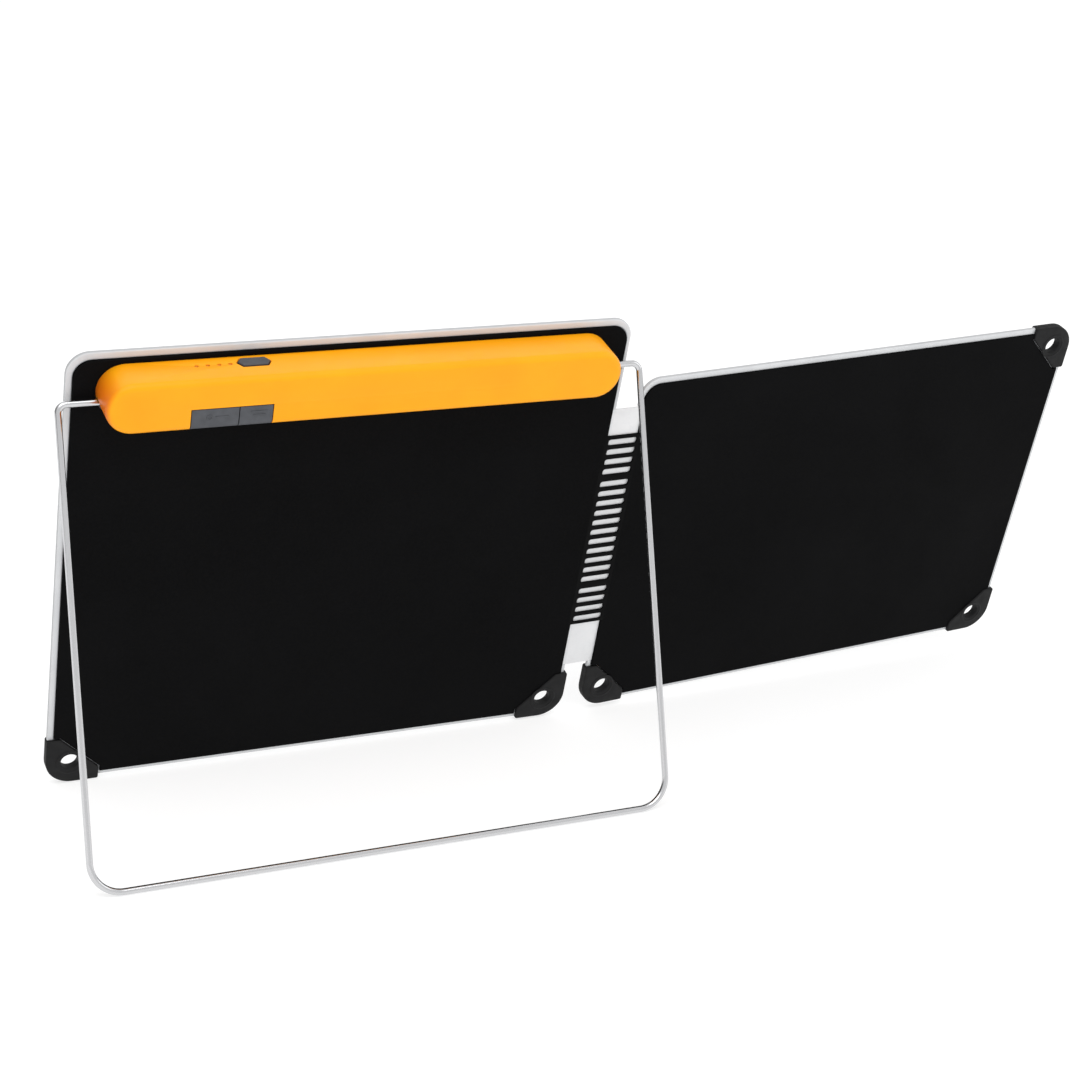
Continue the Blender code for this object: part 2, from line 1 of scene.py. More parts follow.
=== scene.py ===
"""Looks for the folding solar charger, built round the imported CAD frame.

Two panels stand side by side with their backs towards -y, the wing at the +x side of
the main panel and joined to it by a slotted hinge strip. The battery module lies along
the top of the main panel's back, and the wire stand swings out of the module.

Shapes are drawn in the flat layout of the main panel, in millimetres: x across the
panel, y up it, z out of its back with z = 0 on the back face. Four matrices put them
where the CAD stands: main_place, strip_place, wing_place and stand_place. Corners are
named as seen from the back: B or T for bottom or top, then L (-x) or R (+x).
"""

import math
from collections import namedtuple

import bmesh
import bpy
from mathutils import Matrix, Vector


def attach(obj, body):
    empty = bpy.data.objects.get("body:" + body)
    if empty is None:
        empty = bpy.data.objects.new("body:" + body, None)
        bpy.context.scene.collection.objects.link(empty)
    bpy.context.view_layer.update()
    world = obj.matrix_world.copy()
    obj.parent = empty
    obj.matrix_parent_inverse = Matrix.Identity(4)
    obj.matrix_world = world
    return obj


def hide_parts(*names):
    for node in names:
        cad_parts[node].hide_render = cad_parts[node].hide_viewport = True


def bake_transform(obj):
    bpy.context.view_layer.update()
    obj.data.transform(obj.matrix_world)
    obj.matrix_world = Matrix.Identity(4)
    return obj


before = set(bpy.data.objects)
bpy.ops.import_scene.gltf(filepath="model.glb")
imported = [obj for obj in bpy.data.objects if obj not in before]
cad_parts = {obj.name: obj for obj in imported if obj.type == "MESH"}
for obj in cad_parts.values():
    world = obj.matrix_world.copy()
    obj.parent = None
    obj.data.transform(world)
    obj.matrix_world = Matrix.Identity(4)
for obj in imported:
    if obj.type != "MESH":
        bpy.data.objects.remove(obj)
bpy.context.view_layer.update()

MM = 0.001

# ================================================================ sizes
LEAN = math.radians(13.22)  # tilt of the panels towards -y
FOLD = math.radians(4.68)  # bend of the hinge, shared by its two axes
SKEW = math.radians(0.238)  # turn of the wing in its own plane
SWING = math.radians(29.82)  # stand away from the main panel
FOOT_X, FOOT_Y, FOOT_Z = -123.863, 41.953, 0.17  # where the panel's foot stands
FOOT_DROP = 3.36  # from the layout's origin down to the foot

# Panels; a rectangle is (low x, low y, high x, high y)
MAIN_RECT = (-122.1, -2.1, 122.1, 209.0)
WING_RECT = (133.93, -0.7, 376.5, 177.6)
PANEL_T = 2.0
BACK_TOP = 1.0
RIM_W = 2.1
OUTER_R = 9.5

# Corners under a guard: how far they reach along each edge, and x + y on the diagonal
CROP_REACH, CROP_SUM = 20.5, 26.0
GUARD_REACH, GUARD_SUM = 23.4, 27.5
GUARD_R = 12.0
GUARD_LOW, GUARD_TOP = -2.9, 1.6
EYELET_AT, EYELET_R = 9.8, 3.8

# Hinge
AXIS_Z = -0.4
AXIS_1, AXIS_2 = (122.0, 0.0, AXIS_Z), (133.6, 0.0, AXIS_Z)
WEB_Y = (25.0, 164.3)
STRIP_Y = (49.0, 151.0)
STRIP_ENDS = (119.0, 137.03)

# Battery module and stand
MODULE_X = 110.6  # half its length
MODULE_Y, MODULE_Z = (182.4, 204.7), (1.3, 19.1)
MODULE_WALL, MODULE_ROUND = 1.6, 2.8
STAND_Y, STAND_Z = 189.8, 4.0  # the stand's pivot

main_place = (
    Matrix.Translation(
        (FOOT_X, FOOT_Y - FOOT_DROP * math.sin(LEAN), FOOT_DROP * math.cos(LEAN) + FOOT_Z)
    )
    @ Matrix.Rotation(math.pi / 2 + LEAN, 4, "X")
)
at_axis_1 = main_place @ Matrix.Translation(AXIS_1) @ Matrix.Rotation(FOLD / 2, 4, "Y")
at_axis_2 = (
    at_axis_1
    @ Matrix.Translation(Vector(AXIS_2) - Vector(AXIS_1))
    @ Matrix.Rotation(FOLD / 2, 4, "Y")
    @ Matrix.Rotation(SKEW, 4, "Z")
)
strip_place = at_axis_1 @ Matrix.Translation(-Vector(AXIS_1))
wing_place = at_axis_2 @ Matrix.Translation(-Vector(AXIS_2))
stand_place = (
    main_place
    @ Matrix.Translation((0, STAND_Y, STAND_Z))
    @ Matrix.Rotation(-SWING, 4, "X")
)
BACKWARD = tuple(main_place.to_3x3() @ Vector((0, 0, 1)))


# =================================================================== materials
def feed(tree, target, value):
    """Links a socket to an input, or sets the input's value."""
    if isinstance(value, bpy.types.NodeSocket):
        tree.links.new(value, target)
    elif target.type == "RGBA" and len(value) == 3:
        target.default_value = (*value, 1.0)
    else:
        target.default_value = value


def add_node(tree, kind, inputs=(), **properties):
    made = tree.nodes.new("ShaderNode" + kind)
    for key, value in properties.items():
        setattr(made, key, value)
    for socket, value in dict(inputs).items():
        feed(tree, made.inputs[socket], value)
    return made


class Finish:
    """A Principled material whose patterns follow the object's own coordinates."""

    def __init__(self, name, **values):
        self.mat = bpy.data.materials.new(name)
        self.mat.use_nodes = True
        self.tree = self.mat.node_tree
        self.shader = self.tree.nodes["Principled BSDF"]
        self.coords = self.coordinate("Object")
        self.normal = None
        for socket, value in values.items():
            self.set(socket.replace("_", " "), value)

    def set(self, socket, value):
        feed(self.tree, self.shader.inputs[socket], value)

    def node(self, kind, inputs=(), **properties):
        return add_node(self.tree, kind, inputs, **properties)

    def coordinate(self, kind):
        return self.node("TexCoord").outputs[kind]

    def stretched(self, scale, turn=(0, 0, 0)):
        return self.node(
            "Mapping", {"Vector": self.coords, "Scale": scale, "Rotation": turn}
        ).outputs["Vector"]

    def noise(self, scale, detail=3.0, rough=0.55, vector=None):
        inputs = {
            "Vector": vector or self.coords,
            "Scale": scale,
            "Detail": detail,
            "Roughness": rough,
        }
        return self.node("TexNoise", inputs).outputs["Fac"]

    def cells(self, scale):
        return self.node(
            "TexVoronoi", {"Vector": self.coords, "Scale": scale}, feature="F1"
        ).outputs["Distance"]

    def spread(self, value, to=(0.0, 1.0), within=(0.3, 0.7)):
        """Maps a pattern's values within one range onto another."""
        inputs = {
            "Value": value,
            "From Min": within[0],
            "From Max": within[1],
            "To Min": to[0],
            "To Max": to[1],
        }
        return self.node("MapRange", inputs).outputs["Result"]

    def cloud(self, scale, detail=3.0, rough=0.55, to=(0.0, 1.0), within=(0.3, 0.7)):
        return self.spread(self.noise(scale, detail, rough), to, within)

    def creases(self, reach, within, deepest=0.0):
        """A mask for painted shade, from ambient occlusion: 1 in the open, falling to deepest in
        corners; reach is in millimetres.
        """
        shade = self.node("AmbientOcclusion", {"Distance": reach * MM}, samples=8)
        return self.spread(shade.outputs["AO"], (deepest, 1.0), within)

    def mix(self, share, first, second):
        """The first colour at share 0, the second at 1."""
        return self.node("Mix", {0: share, 6: first, 7: second}, data_type="RGBA").outputs[2]

    def maths(self, operation, value, other=0.0):
        return self.node("Math", {0: value, 1: other}, operation=operation).outputs[0]

    def facing(self, direction):
        """How far a face looks along a direction, from -1 to 1."""
        inputs = {0: self.coordinate("Normal"), 1: direction}
        return self.node("VectorMath", inputs, operation="DOT_PRODUCT").outputs["Value"]

    def roughness(self, low, high, scale, detail=3.0):
        self.set("Roughness", self.cloud(scale, detail, to=(low, high)))

    def bump(self, pattern, strength, height):
        """Lays relief, with its height in millimetres, over what is already there."""
        inputs = {"Height": pattern, "Strength": strength, "Distance": height * MM}
        if self.normal is not None:
            inputs["Normal"] = self.normal
        self.normal = self.node("Bump", inputs).outputs["Normal"]
        self.set("Normal", self.normal)


def rim_finish():
    """Grey plastic, with painted shade on the faces that look out of the panel's edge and in its
    creases.
    """
    look = Finish("rim_plastic", Specular_IOR_Level=0.4)
    mottle = look.noise(scale=55, detail=4)
    # painted shade in creases and corners, from ambient occlusion
    crease_shade = look.creases(reach=2.2, within=(0.35, 0.9))
    face = look.mix(look.spread(mottle), (0.60, 0.61, 0.625), (0.68, 0.69, 0.70))
    # the second colour is a painted-shade copy of the face colour, for the faces that look out of
    # the panel's edge
    edge = look.mix(look.spread(mottle), (0.41, 0.415, 0.425), (0.47, 0.475, 0.485))
    flatness = look.maths("ABSOLUTE", look.facing(BACKWARD))
    with_side_shade = look.mix(look.spread(flatness, within=(0.2, 0.95)), edge, face)
    look.set("Base Color", look.mix(crease_shade, (0.33, 0.335, 0.35), with_side_shade))
    look.roughness(0.36, 0.52, scale=240, detail=4)
    look.bump(look.noise(scale=2600, detail=2), strength=0.12, height=0.05)
    waves = look.noise(scale=90, detail=2, vector=look.stretched((1, 1, 6)))
    look.bump(waves, strength=0.1, height=0.1)
    return look.mat


def back_finish():
    look = Finish("back_sheet", Specular_IOR_Level=0.015)
    mottle = look.cloud(scale=16, detail=5)
    fine = look.cloud(scale=900)
    colour = look.mix(mottle, (0.0034, 0.0034, 0.0036), (0.0048, 0.0048, 0.0051))
    fine_share = look.maths("MULTIPLY", fine, 0.35)
    look.set("Base Color", look.mix(fine_share, colour, (0.008, 0.008, 0.0084)))
    look.roughness(0.50, 0.66, scale=34, detail=5)
    grain = look.stretched((1, 1, 9), turn=(0.3, 0.2, 0.1))
    scuffs = look.noise(scale=60, detail=6, rough=0.7, vector=grain)
    look.bump(look.cells(scale=1500), strength=0.25, height=0.05)
    look.bump(scuffs, strength=0.08, height=0.05)
    return look.mat


def rubber_finish(name, low, high, rough, specular):
    """Black rubber between two colours, paler where worn, with painted shade in its creases."""
    look = Finish(name, Specular_IOR_Level=specular)
    mottle = look.cloud(scale=140, detail=5)
    worn = look.cloud(scale=420, detail=6, rough=0.7, to=(0.0, 0.5), within=(0.55, 0.8))
    colour = look.mix(mottle, low, high)
    colour = look.mix(worn, colour, [c * 1.6 for c in high])
    # painted shade in creases and corners, from ambient occlusion
    crease_shade = look.creases(reach=1.6, within=(0.2, 0.9), deepest=0.45)
    look.set("Base Color", look.mix(crease_shade, (0.002, 0.002, 0.002), colour))
    look.roughness(rough - 0.07, rough + 0.08, scale=310)
    look.bump(look.cells(scale=1900), strength=0.35, height=0.05)
    look.bump(look.noise(scale=5200, detail=2), strength=0.25, height=0.03)
    return look.mat


def web_finish():
    look = Finish("web_rubber", Specular_IOR_Level=0.25)
    mottle = look.cloud(scale=70, detail=4)
    worn = look.cloud(scale=380, detail=5, rough=0.7, to=(0.0, 0.5), within=(0.5, 0.8))
    colour = look.mix(mottle, (0.74, 0.745, 0.755), (0.80, 0.805, 0.815))
    colour = look.mix(worn, colour, (0.70, 0.705, 0.72))
    # painted shade in creases and corners, from ambient occlusion
    crease_shade = look.creases(reach=1.4, within=(0.3, 0.85))
    look.set("Base Color", look.mix(crease_shade, (0.62, 0.625, 0.64), colour))
    look.roughness(0.5, 0.66, scale=300)
    look.bump(look.cells(scale=1700), strength=0.2, height=0.04)
    look.bump(look.noise(scale=4200, detail=2), strength=0.12, height=0.02)
    return look.mat


def orange_finish():
    """Orange plastic, with painted shade on the module's -x end and in its creases."""
    look = Finish(
        "module_shell", Specular_IOR_Level=0.2, Coat_Weight=0.03, Coat_Roughness=0.25
    )
    mottle = look.cloud(scale=38, detail=4)
    colour = look.mix(mottle, (0.96, 0.362, 0.003), (1.0, 0.398, 0.004))
    # painted shade on the faces that look towards -x, the module's end
    end = look.spread(look.facing((-1, 0, 0)), within=(0.45, 0.95))
    colour = look.mix(end, colour, (0.78, 0.17, 0.003))
    # painted shade in creases and corners, from ambient occlusion
    orange_crease_shade = look.creases(reach=1.5, within=(0.3, 0.85))
    look.set("Base Color", look.mix(orange_crease_shade, (0.62, 0.16, 0.004), colour))
    look.roughness(0.34, 0.46, scale=180, detail=4)
    look.bump(look.cells(scale=2400), strength=0.22, height=0.04)
    look.bump(look.noise(scale=120), strength=0.06, height=0.08)
    return look.mat


def control_finish():
    look = Finish("control_rubber", Specular_IOR_Level=0.35)
    mottle = look.cloud(scale=260, detail=4)
    colour = look.mix(mottle, (0.058, 0.061, 0.069), (0.078, 0.082, 0.092))
    # painted shade in creases and corners, from ambient occlusion
    crease_shade = look.creases(reach=0.9, within=(0.3, 0.9))
    look.set("Base Color", look.mix(crease_shade, (0.02, 0.02, 0.023), colour))
    look.roughness(0.5, 0.62, scale=400)
    look.bump(look.cells(scale=2600), strength=0.3, height=0.04)
    look.bump(look.noise(scale=5200, detail=2), strength=0.2, height=0.02)
    return look.mat


def wire_finish():
    """Bright wire with drawing lines along it, which follow the UV map."""
    look = Finish("wire_chrome", Metallic=1.0)
    inputs = {"Vector": look.coordinate("UV"), "Scale": (0.05, 14.0, 1.0)}
    lines = look.node("Mapping", inputs).outputs["Vector"]
    drawn = look.noise(scale=6.0, detail=5, rough=0.65, vector=lines)
    specks = look.noise(scale=700, detail=5, rough=0.7)
    colour = look.mix(look.spread(drawn), (0.52, 0.525, 0.54), (0.68, 0.68, 0.69))
    look.set("Base Color", colour)
    look.set("Roughness", look.spread(specks, to=(0.13, 0.26), within=(0.35, 0.75)))
    look.bump(drawn, strength=0.18, height=0.03)
    look.bump(specks, strength=0.05, height=0.03)
    return look.mat


def cell_finish():
    """Blue-black silicon, each cell its own tint, with a contact finger every 2 mm in x."""
    look = Finish(
        "solar_cell", Coat_Weight=0.3, Coat_Roughness=0.09, Specular_IOR_Level=0.25
    )
    each = look.node("NewGeometry").outputs["Random Per Island"]
    tint = look.mix(each, (0.0045, 0.007, 0.022), (0.008, 0.012, 0.038))
    cloud = look.cloud(scale=42, detail=4, to=(0.0, 0.5))
    tint = look.mix(cloud, tint, (0.012, 0.013, 0.040))
    across = look.node("SeparateXYZ", {"Vector": look.coords}).outputs[0]
    fingers = look.maths("PINGPONG", look.maths("MULTIPLY", across, 1.0 / MM), 1.0)
    finger = look.spread(fingers, to=(1.0, 0.0), within=(0.02, 0.12))
    finger_share = look.maths("MULTIPLY", finger, 0.4)
    look.set("Base Color", look.mix(finger_share, tint, (0.20, 0.21, 0.24)))
    look.roughness(0.22, 0.34, scale=90)
    look.set("Metallic", look.maths("MULTIPLY", finger, 0.4))
    look.bump(look.cells(scale=1100), strength=0.25, height=0.05)
    look.bump(look.noise(scale=160), strength=0.12, height=0.08)
    return look.mat


def film_finish():
    look = Finish(
        "laminate_film", Coat_Weight=0.3, Coat_Roughness=0.1, Specular_IOR_Level=0.25
    )
    cloud = look.cloud(scale=30, detail=4)
    look.set("Base Color", look.mix(cloud, (0.006, 0.0065, 0.009), (0.011, 0.012, 0.016)))
    look.roughness(0.26, 0.4, scale=220)
    look.bump(look.cells(scale=1100), strength=0.3, height=0.06)
    look.bump(look.noise(scale=120), strength=0.12, height=0.1)
    return look.mat


def ribbon_finish():
    look = Finish("tinned_ribbon", Metallic=1.0)
    dull = look.cloud(scale=600, detail=5, rough=0.7)
    look.set("Base Color", look.mix(dull, (0.40, 0.41, 0.43), (0.62, 0.63, 0.65)))
    look.roughness(0.25, 0.42, scale=900)
    look.bump(look.noise(scale=1500, detail=4), strength=0.3, height=0.03)
    return look.mat


def light_finish():
    look = Finish("light_pipe", Transmission_Weight=0.25)
    look.roughness(0.2, 0.34, scale=1500)
    cloud = look.cloud(scale=2000)
    look.set("Base Color", look.mix(cloud, (0.88, 0.22, 0.01), (0.98, 0.31, 0.02)))
    look.bump(look.noise(scale=3000, detail=2), strength=0.1, height=0.02)
    return look.mat


def plain_finish(name, low, high, rough, metallic=0.0, grain=1500):
    """A mottle between two colours, with painted shade in creases; grain is the scale its patterns
    come from.
    """
    look = Finish(name, Metallic=metallic, Specular_IOR_Level=0.5)
    mottle = look.cloud(scale=grain / 8, detail=5)
    # painted shade in creases and corners, from ambient occlusion
    crease_shade = look.creases(reach=1.2, within=(0.2, 0.9), deepest=0.3)
    colour = look.mix(mottle, low, high)
    look.set("Base Color", look.mix(crease_shade, [c * 0.25 for c in low], colour))
    look.roughness(rough - 0.07, rough + 0.07, scale=grain / 3, detail=4)
    look.bump(look.noise(scale=grain), strength=0.25, height=0.04)
    look.bump(look.cells(scale=grain * 1.6), strength=0.12, height=0.03)
    return look.mat


def board_finish():
    """Green resist over a brick pattern."""
    look = Finish("circuit_board", Coat_Weight=0.4)
    inputs = {
        "Vector": look.coords,
        "Scale": 300.0,
        "Mortar Size": 0.03,
        "Color1": (1, 1, 1),
        "Color2": (0.8, 0.8, 0.8),
        "Mortar": (0, 0, 0),
    }
    bricks = look.node("TexBrick", inputs).outputs["Fac"]
    resist = look.mix(look.cloud(scale=240), (0.006, 0.09, 0.035), (0.010, 0.13, 0.05))
    look.set("Base Color", look.mix(bricks, resist, (0.03, 0.22, 0.08)))
    look.roughness(0.28, 0.42, scale=500)
    look.bump(bricks, strength=0.3, height=0.03)
    look.bump(look.noise(scale=1800, detail=2), strength=0.1, height=0.02)
    return look.mat


def floor_finish():
    look = Finish(
        "studio_floor",
        Specular_IOR_Level=0.0,
        Roughness=0.9,
        Emission_Color=(1.0, 1.0, 1.0),
        Emission_Strength=0.64,
    )
    cloud = look.cloud(scale=1.3)
    look.set("Base Color", look.mix(cloud, (0.465, 0.465, 0.465), (0.475, 0.475, 0.475)))
    look.bump(look.noise(scale=300, detail=2), strength=0.02, height=0.02)
    return look.mat


FINISH = {
    "rim": rim_finish(),
    "back": back_finish(),
    "guard": rubber_finish(
        "guard_rubber", (0.009, 0.009, 0.0094), (0.0135, 0.0135, 0.014), rough=0.6, specular=0.15
    ),
    "strip": rubber_finish(
        "strip_rubber", (0.0038, 0.0038, 0.004), (0.0058, 0.0058, 0.006), rough=0.58, specular=0.03
    ),
    "web": web_finish(),
    "orange": orange_finish(),
    "control": control_finish(),
    "wire": wire_finish(),
    "cell": cell_finish(),
    "film": film_finish(),
    "ribbon": ribbon_finish(),
    "light": light_finish(),
    "tray": plain_finish(
        "tray_plastic", (0.018, 0.018, 0.020), (0.028, 0.028, 0.030), rough=0.55
    ),
    "steel": plain_finish(
        "steel", (0.45, 0.45, 0.47), (0.58, 0.58, 0.60), rough=0.32, metallic=1.0, grain=2400
    ),
    "board": board_finish(),
    "wrap": plain_finish(
        "battery_wrap", (0.06, 0.10, 0.26), (0.08, 0.13, 0.33), rough=0.35, grain=900
    ),
    "copper": plain_finish(
        "lead_copper", (0.55, 0.26, 0.15), (0.72, 0.38, 0.24), rough=0.38, metallic=1.0, grain=2400
    ),
    "ferrite": plain_finish(
        "ferrite", (0.035, 0.035, 0.037), (0.06, 0.06, 0.06), rough=0.65, grain=3000
    ),
    "contact": plain_finish(
        "contact_gold", (0.62, 0.42, 0.15), (0.80, 0.56, 0.24), rough=0.3, metallic=1.0, grain=3000
    ),
}

# CAD pieces that are shown as they are, by finish
CARRIED = {
    "film": ("main_cell_array", "wing_cell_array"),
    "copper": ("hinge_lead_upper", "hinge_lead_lower"),
    "tray": ("module_tray", "tact_switch"),
    "board": ("circuit_board",),
    "steel": (
        "board_screw_1",
        "board_screw_2",
        "usb_output_socket",
        "micro_usb_socket",
        "filter_capacitor",
        "stand_clip_left",
        "stand_clip_right",
    ),
    "wrap": ("battery_cell",),
    "ferrite": ("power_inductor",),
    "control": ("pivot_bush_left", "pivot_bush_right"),
}
for finish, nodes in CARRIED.items():
    for node in nodes:
        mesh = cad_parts[node].data
        mesh.materials.clear()
        mesh.materials.append(FINISH[finish])


# ================================================================ shape tools
def bridge(solid, rows):
    """Joins each row of vertices to the next with quads."""
    count = len(rows[0])
    for low, high in zip(rows, rows[1:]):
        for i in range(count):
            j = (i + 1) % count
            solid.faces.new((low[i], low[j], high[j], high[i]))


def loft(solid, rings, close=False):
    """Skins rings of points, and either caps the ends or joins the last to the first."""
    rows = [[solid.verts.new(p) for p in ring] for ring in rings]
    bridge(solid, rows + rows[:1] if close else rows)
    if not close:
        solid.faces.new(rows[0][::-1])
        solid.faces.new(rows[-1])


def level(points, z):
    return [(x, y, z) for x, y in points]


def rectangle(x, y):
    return [(x[0], y[0]), (x[1], y[0]), (x[1], y[1]), (x[0], y[1])]


def box(solid, x, y, z):
    loft(solid, [level(rectangle(x, y), height) for height in z])


def extrude_x(solid, section, span):
    loft(solid, [[(x, y, z) for y, z in section] for x in span])


def lathe(solid, centre, profile, axis, sides, close=False):
    """Turns (radius, place along the axis) pairs round x, y or z."""
    rings = []
    for radius, s in profile:
        ring = []
        for k in range(sides):
            a = 2 * math.pi * k / sides
            u, v = radius * math.cos(a), radius * math.sin(a)
            point = {"x": (s, u, v), "y": (u, s, v), "z": (u, v, s)}[axis]
            ring.append(tuple(c + p for c, p in zip(centre, point)))
        rings.append(ring)
    loft(solid, rings, close)


def quarter(steps, first=0):
    """(cosine, sine) at equal steps through a right angle."""
    angles = [math.pi / 2 * k / steps for k in range(first, steps + 1)]
    return [(math.cos(a), math.sin(a)) for a in angles]


def arc(cx, cy, radius, start, end, count):
    """Points round an arc, with its angles in degrees."""
    angles = [math.radians(start + (end - start) * k / count) for k in range(count + 1)]
    return [(cx + radius * math.cos(a), cy + radius * math.sin(a)) for a in angles]


def rounded_rectangle(x, y, radius, steps):
    points = []
    for cx, cy, start in (
        (x[1] - radius, y[1] - radius, 0),
        (x[0] + radius, y[1] - radius, 90),
        (x[0] + radius, y[0] + radius, 180),
        (x[1] - radius, y[0] + radius, 270),
    ):
        points += arc(cx, cy, radius, start, start + 90, steps)
    return points


def helper(solid):
    """A short-lived object to put modifiers on or to cut with."""
    bmesh.ops.recalc_face_normals(solid, faces=solid.faces)
    mesh = bpy.data.meshes.new("helper")
    solid.to_mesh(mesh)
    solid.free()
    obj = bpy.data.objects.new("helper", mesh)
    bpy.context.scene.collection.objects.link(obj)
    return obj


def shaped(solid, *cutters, bevel=None, segments=None, angle=None):
    """Takes the cutters away in turn, then bevels edges sharper than the angle."""
    obj = helper(solid)
    cutters = [helper(cutter) for cutter in cutters]
    for cutter in cutters:
        mod = obj.modifiers.new("cut", "BOOLEAN")
        mod.object, mod.operation, mod.solver = cutter, "DIFFERENCE", "EXACT"
    if bevel:
        mod = obj.modifiers.new("round", "BEVEL")
        mod.width, mod.segments, mod.limit_method = bevel, segments, "ANGLE"
        mod.angle_limit = math.radians(angle)
    bpy.context.view_layer.update()
    graph = bpy.context.evaluated_depsgraph_get()
    mesh = bpy.data.meshes.new_from_object(obj.evaluated_get(graph), depsgraph=graph)
    out = bmesh.new()
    out.from_mesh(mesh)
    bpy.data.meshes.remove(mesh)
    for gone in [obj] + cutters:
        old = gone.data
        bpy.data.objects.remove(gone, do_unlink=True)
        bpy.data.meshes.remove(old)
    return out


def piece(
    name, solid, finish, smooth=35, place=main_place, body="main_panel", replaces=()
):
    """One named mesh in the CAD frame, riding on a body if one is given."""
    bmesh.ops.remove_doubles(solid, verts=solid.verts, dist=1e-5)
    bmesh.ops.recalc_face_normals(solid, faces=solid.faces)
    bmesh.ops.transform(solid, matrix=Matrix.Scale(MM, 4) @ place, verts=solid.verts)
    mesh = bpy.data.meshes.new(name)
    solid.to_mesh(mesh)
    solid.free()
    mesh.materials.append(FINISH[finish])
    mesh.shade_smooth()
    mesh.set_sharp_from_angle(angle=math.radians(smooth))
    obj = bpy.data.objects.new(name, mesh)
    bpy.context.scene.collection.objects.link(obj)
    if replaces:
        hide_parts(*replaces)
    if body:
        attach(obj, body)
    return obj


def corners(rect):
    """Each corner's place, and the signs that lead from it into the rectangle."""
    x0, y0, x1, y1 = rect
    return {
        "BL": (x0, y0, 1, 1),
        "BR": (x1, y0, -1, 1),
        "TR": (x1, y1, -1, -1),
        "TL": (x0, y1, 1, -1),
    }


def round_corners(rect, corner_shape):
    """An outline; corner_shape gives points as distances from a corner's two edges."""
    points = []
    for key, (cx, cy, sx, sy) in corners(rect).items():
        local = corner_shape(key)
        points += [(cx + sx * a, cy + sy * b) for a, b in local[:: sx * sy]]
    return points


def outline(rect, inset, cut, guards, steps=14):
    """A panel outline. Under a guard it stops at cut[0] along each edge and runs along
    x + y = cut[1]; a cut[0] of None lets that line run through."""
    reach, total = cut

    def corner_shape(key):
        if key not in guards:
            radius = max(OUTER_R - inset, 0.6)
            return [
                (inset + radius - radius * c, inset + radius - radius * s)
                for c, s in quarter(steps)
            ]
        if reach is None:
            run = total - 2 * inset
            return [
                (inset + run * k / steps, total - inset - run * k / steps)
                for k in range(steps + 1)
            ]
        near = total - reach
        run = reach - near
        diagonal = [
            (near + run * k / (steps - 2), reach - run * k / (steps - 2))
            for k in range(steps - 1)
        ]
        return [(inset, reach)] + diagonal + [(reach, inset)]

    return round_corners(rect, corner_shape)


def moved_cut(cut, distance):
    return (cut[0] + distance, cut[1] + distance * math.sqrt(2))


# ================================================================ both panels
# outside and inside: the rim's outer outline, and where its face meets the sheets.
# notch and seat: the x ranges cut away for the hinge's web and strip.
Panel = namedtuple("Panel", "side place rect outside inside guards grid notch seat")


def grown(rect, steps):
    return tuple(a + b for a, b in zip(rect, steps))


MAIN = Panel(
    side="main",
    place=main_place,
    rect=MAIN_RECT,
    outside=grown(MAIN_RECT, (-0.3, -0.3, 0, 0.7)),
    inside=grown(MAIN_RECT, (0.5, 0, 0, -0.5)),
    guards=("BL", "BR"),
    grid=(4, 6),
    notch=(120.05, 130.0),
    seat=(STRIP_ENDS[0], 130.0),
)
WING = Panel(
    side="wing",
    place=wing_place,
    rect=WING_RECT,
    outside=grown(WING_RECT, (0, -0.3, 0.3, 0.3)),
    inside=grown(WING_RECT, (0, 0, 0, -0.5)),
    guards=("BL", "BR", "TR"),
    grid=(4, 5),
    notch=(126.0, 135.98),
    seat=(126.0, STRIP_ENDS[1]),
)

RIM_ROUND, LIP_ROUND = 0.6, 0.2
LIP_AT, TONGUE_AT = 1.9, 5.0  # insets of the rim's inner edge and of its tongue
TONGUE_Z = (-1.4, -0.6)


def panel_piece(name, solid, finish, smooth, panel, replaces=()):
    body = panel.side + "_panel"
    piece(name, solid, finish, smooth, panel.place, body, replaces)


def rim_round(face, side):
    """Levels from the rim's side to its face, which looks up or down as side says."""
    return [
        (RIM_ROUND - RIM_ROUND * c, face - side * (RIM_ROUND - RIM_ROUND * s))
        for c, s in quarter(6)
    ]


def build_rim(panel):
    """A frame round the panel with a tongue reaching in between the sheets."""
    lip = LIP_AT - LIP_ROUND
    levels = rim_round(0.0, 1) + [(1.5, 0.0)]
    levels += [
        (lip + LIP_ROUND * s, -LIP_ROUND + LIP_ROUND * c) for c, s in quarter(3, first=1)
    ]
    levels += [(LIP_AT, TONGUE_Z[1]), (TONGUE_AT, TONGUE_Z[1])]
    levels += [(TONGUE_AT, TONGUE_Z[0]), (LIP_AT, TONGUE_Z[0])]
    levels += [
        (lip + LIP_ROUND * c, -PANEL_T + LIP_ROUND - LIP_ROUND * s) for c, s in quarter(3)
    ]
    levels += rim_round(-PANEL_T, -1)[::-1]
    rings = []
    for inset, z in levels:
        if inset == TONGUE_AT:
            cut = (None, CROP_SUM + 6.4)
        else:
            cut = moved_cut((CROP_REACH, CROP_SUM), min(inset * 0.47, 0.9))
        rect = panel.outside if inset < 1 else panel.inside
        rings.append(level(outline(rect, inset, cut, panel.guards), z))
    solid = bmesh.new()
    loft(solid, rings, close=True)
    notch = bmesh.new()
    box(notch, panel.notch, WEB_Y, (-12, 6))
    out = shaped(solid, notch)
    panel_piece("rim_" + panel.side, out, "rim", 40, panel, (panel.side + "_frame",))


def sheet(rect, guards, cut, levels):
    """A sheet inside the rim, from (extra inset, z) levels."""
    solid = bmesh.new()
    loft(
        solid,
        [level(outline(rect, RIM_W + d, moved_cut(cut, d), guards), z) for d, z in levels],
    )
    return solid


